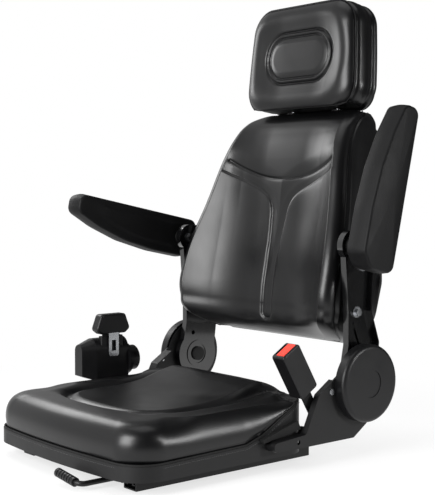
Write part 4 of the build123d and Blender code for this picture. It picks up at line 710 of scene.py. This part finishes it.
def red_plastic():
    """Red ABS press button: bright signal red, smooth and slightly glossy."""
    material, tree, shader, _, drift = finish("red_press_button", 8, "#fb3a2a", "#ff4636", (0.30, 0.38))
    add(tree, "ShaderNodeBump", {"Height": drift, "Strength": 0.1, "Distance": 0.1 * MM}, shader.inputs["Normal"])
    return material


def nylon():
    """Natural nylon bearing shoes: milky off-white with a waxy sheen."""
    return finish("natural_nylon", 6, "#cfcabd", "#dcd8cd", (0.35, 0.45), Subsurface_Weight=0.1)[0]


def webbing():
    """Woven polyester belt webbing: ribs across the band, 1.4 mm apart, over lengthwise threads, dull black."""
    material, tree, shader, place, _ = finish("black_belt_webbing", 3, "#121213", "#1c1c1d", (0.65, 0.8),
                                              Sheen_Weight=0.3)
    ribs = add(tree, "ShaderNodeTexWave", {"Vector": place, "Scale": 2 * pi / (20 * 1.4 * MM), "Distortion": 0.6},
               bands_direction="Z")
    threads = add(tree, "ShaderNodeTexWave", {"Vector": place, "Scale": 2 * pi / (20 * 2.2 * MM)},
                  bands_direction="Y")
    weave = add(tree, "ShaderNodeMath", {0: ribs.outputs["Fac"], 1: threads.outputs["Fac"]}, operation="MULTIPLY")
    add(tree, "ShaderNodeBump", {"Height": weave.outputs["Value"], "Strength": 0.5, "Distance": 0.4 * MM},
        shader.inputs["Normal"])
    return material


def rubber():
    """Extruded black rubber edging: dull, slightly greyed by wear."""
    material, tree, shader, _, drift = finish("black_rubber", 15, "#0a0a0a", "#121212", (0.55, 0.7),
                                              Specular_IOR_Level=0.3)
    add(tree, "ShaderNodeBump", {"Height": drift, "Strength": 0.15, "Distance": 0.2 * MM}, shader.inputs["Normal"])
    return material


def thread():
    """Bonded polyester sewing thread: charcoal, with the twist's soft glint."""
    return finish("charcoal_thread", 1.5, "#1c1c1d", "#2a2a2b", (0.5, 0.6), Sheen_Weight=0.2)[0]


FINISHES = {
    "black_vinyl": leather_cloth(),
    "armrest_skin": moulded_skin(),
    "gloss_black_steel": gloss_enamel(),
    "matt_black_steel": powder_coat(),
    "zinc_steel": zinc_plate(),
    "chromed_steel": chrome(),
    "black_plastic": moulded_plastic(),
    "nylon": nylon(),
    "red_plastic": red_plastic(),
    "webbing": webbing(),
    "black_rubber": rubber(),
}
THREAD = thread()

slot_of = {part["node"]: part["material_slot"] for part in frame["record"]["subparts"]}
for name, node in nodes.items():
    node.data.materials.clear()
    dulled = name.endswith(("recliner_pin", "recliner_bush", "armrest_hub"))
    node.data.materials.append(FINISHES["black_rubber" if dulled else slot_of[name]])


def dress(thing, body, slot, *replaced, material=None):
    """Gives a piece its finish and the body that it rides on, and hides the CAD nodes that it stands for."""
    thing.data.materials.append(material or FINISHES[slot])
    if replaced:
        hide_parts(*replaced)
    if body:
        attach(thing, body)
    return thing


# The soft pieces

cushion = seat_cushion()
plump(cushion, lambda p: p[:, 2] < trim_height(p[:, 1]) + 4, cap=7)
dress(cushion, "seat", "black_vinyl", "seat_cushion")

back = backrest()
plump(back, lambda p: on_back(p)[2] < -80, cap=6, smaller=2.0)
press_back(back)
dress(back, "backrest", "black_vinyl", "back_cushion")

head = headrest()
plump(head, lambda p: (p - HEAD_FOOT) @ np.array([0, -cos(HEAD_LEAN), sin(HEAD_LEAN)]) < -62, cap=6)
press_head(head)
dress(head, "headrest", "black_vinyl", "headrest_cushion")

for label, side, angle in (("left", 1, 103.5), ("right", -1, 11.5)):
    rest = armrest(f"{label}_armrest_cover", side, angle)
    plump(rest, lambda p: np.abs(p[:, 0]) < 285, cap=4, voxel=5.0, smaller=2.0)
    dress(rest, f"{label}_armrest", "armrest_skin", f"{label}_armrest_pad")

dress(back_panel(), "backrest", "black_vinyl", "back_shell")
dress(head_panel(), "headrest", "black_vinyl", "headrest_back")

strap = dress(belt_webbing(), None, "webbing", "belt_strap")
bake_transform(strap)

dress(pan_stitches(), "seat", "black_vinyl", material=THREAD)
dress(zip_teeth(), "headrest", "black_plastic")


# Floor, light and camera

def floor_finish():
    """Matt white paper sweep: nearly shadowless white that keeps the object's soft shadow."""
    material, tree, shader, place, _ = finish("white_paper_sweep", 400, "#f4f4f4", "#f8f8f8", Roughness=0.9)
    path = add(tree, "ShaderNodeLightPath")
    seen = add(tree, "ShaderNodeMath", {0: path.outputs["Is Camera Ray"], 1: path.outputs["Is Glossy Ray"]},
               operation="MAXIMUM")
    seen = add(tree, "ShaderNodeMath", {0: seen.outputs["Value"], 1: path.outputs["Is Transmission Ray"]},
               operation="MAXIMUM")
    glow = add(tree, "ShaderNodeEmission", {"Color": linear("#ffffff"), "Strength": 1.0})
    far = add(tree, "ShaderNodeVectorMath", {0: place}, operation="LENGTH")
    plain = add(tree, "ShaderNodeMapRange", {"Value": far.outputs["Value"], "From Min": 0.45, "From Max": 1.2,
                                             "To Min": 0.7, "To Max": 1.0}, interpolation_type="SMOOTHSTEP")
    share = add(tree, "ShaderNodeMath", {0: seen.outputs["Value"], 1: plain.outputs["Result"]}, operation="MULTIPLY")
    add(tree, "ShaderNodeMixShader",
        {0: share.outputs["Value"], 1: shader.outputs["BSDF"], 2: glow.outputs["Emission"]},
        tree.nodes["Material Output"].inputs["Surface"])
    return material


FLOOR_RADIUS = 1500.0
spoke = np.linspace(0, 2 * pi, 96, endpoint=False)
disc = np.linspace(0, FLOOR_RADIUS, 5)[:, None]
ground = skin("floor", np.stack([disc * np.cos(spoke), disc * np.sin(spoke) + 80, 0 * disc * spoke], axis=-1))
ground.data.materials.append(floor_finish())

# White to the camera. Mirrored rays see a wall that is bright at the front left and dark at the right.
world = bpy.data.worlds.new("studio")
scene.world = world
world.use_nodes = True
sky = world.node_tree
path = add(sky, "ShaderNodeLightPath")
mirror = add(sky, "ShaderNodeMath", {0: path.outputs["Is Glossy Ray"], 1: path.outputs["Is Transmission Ray"]},
             operation="MAXIMUM")
toward = add(sky, "ShaderNodeVectorMath", {0: add(sky, "ShaderNodeTexCoord").outputs["Generated"], 1: (-0.8, -0.6, 0)},
             operation="DOT_PRODUCT")
wall = add(sky, "ShaderNodeMapRange", {"Value": toward.outputs["Value"], "From Min": -0.1, "From Max": 0.8,
                                       "To Min": 0.06, "To Max": 0.75}, interpolation_type="SMOOTHSTEP")
level = add(sky, "ShaderNodeMix", {"Factor": mirror.outputs["Value"], "A": 0.6, "B": wall.outputs["Result"]})
background = sky.nodes["Background"]
background.inputs["Color"].default_value = linear("#ffffff")
add(sky, "ShaderNodeMix", {"Factor": path.outputs["Is Camera Ray"], "A": level.outputs["Result"], "B": 1.0},
    background.inputs["Strength"])


def softbox(name, place, aim, width, height, power):
    """Soft oblong lamp at a place, turned to face a point; sizes in metres, power in watts."""
    lamp = bpy.data.lights.new(name, "AREA")
    lamp.shape = "RECTANGLE"
    lamp.size = width
    lamp.size_y = height
    lamp.energy = power
    box = bpy.data.objects.new(name, lamp)
    scene.collection.objects.link(box)
    box.location = place
    gap = np.array(aim) - np.array(place)
    box.rotation_mode = "XYZ"
    box.rotation_euler = (np.arctan2(np.hypot(gap[0], gap[1]), -gap[2]), 0, np.arctan2(-gap[0], gap[1]))
    return box


# The key stands before the seat, one at the left lights the rolls, a weak broad one hangs overhead, and two small
# ones at the right draw the rims.
softbox("key", (0.3, -2.2, 1.1), (0, 0.2, 0.4), 1.3, 1.5, 74)
softbox("left", (-1.2, -0.06, 1.05), (0, -0.1, 0.15), 0.6, 0.6, 6)
softbox("overhead", (0.0, 0.1, 2.6), (0, 0.1, 0.3), 1.6, 1.6, 10)
softbox("rim", (1.76, 1.02, 0.62), (0.2, 0.0, 0.2), 0.2, 0.4, 12)
softbox("high_rim", (1.8, 0.64, 1.1), (0.2, 0.3, 0.7), 0.15, 0.4, 6)

camera = bpy.data.cameras.new("camera")
camera.lens = 80.8
camera.sensor_width = 36
camera.sensor_fit = "AUTO"
view = bpy.data.objects.new("camera", camera)
scene.collection.objects.link(view)
view.location = (1.769, -1.348, 0.530)
view.rotation_euler = (radians(90 - 2.9), 0, radians(50))
scene.camera = view
scene.view_settings.view_transform = "Standard"
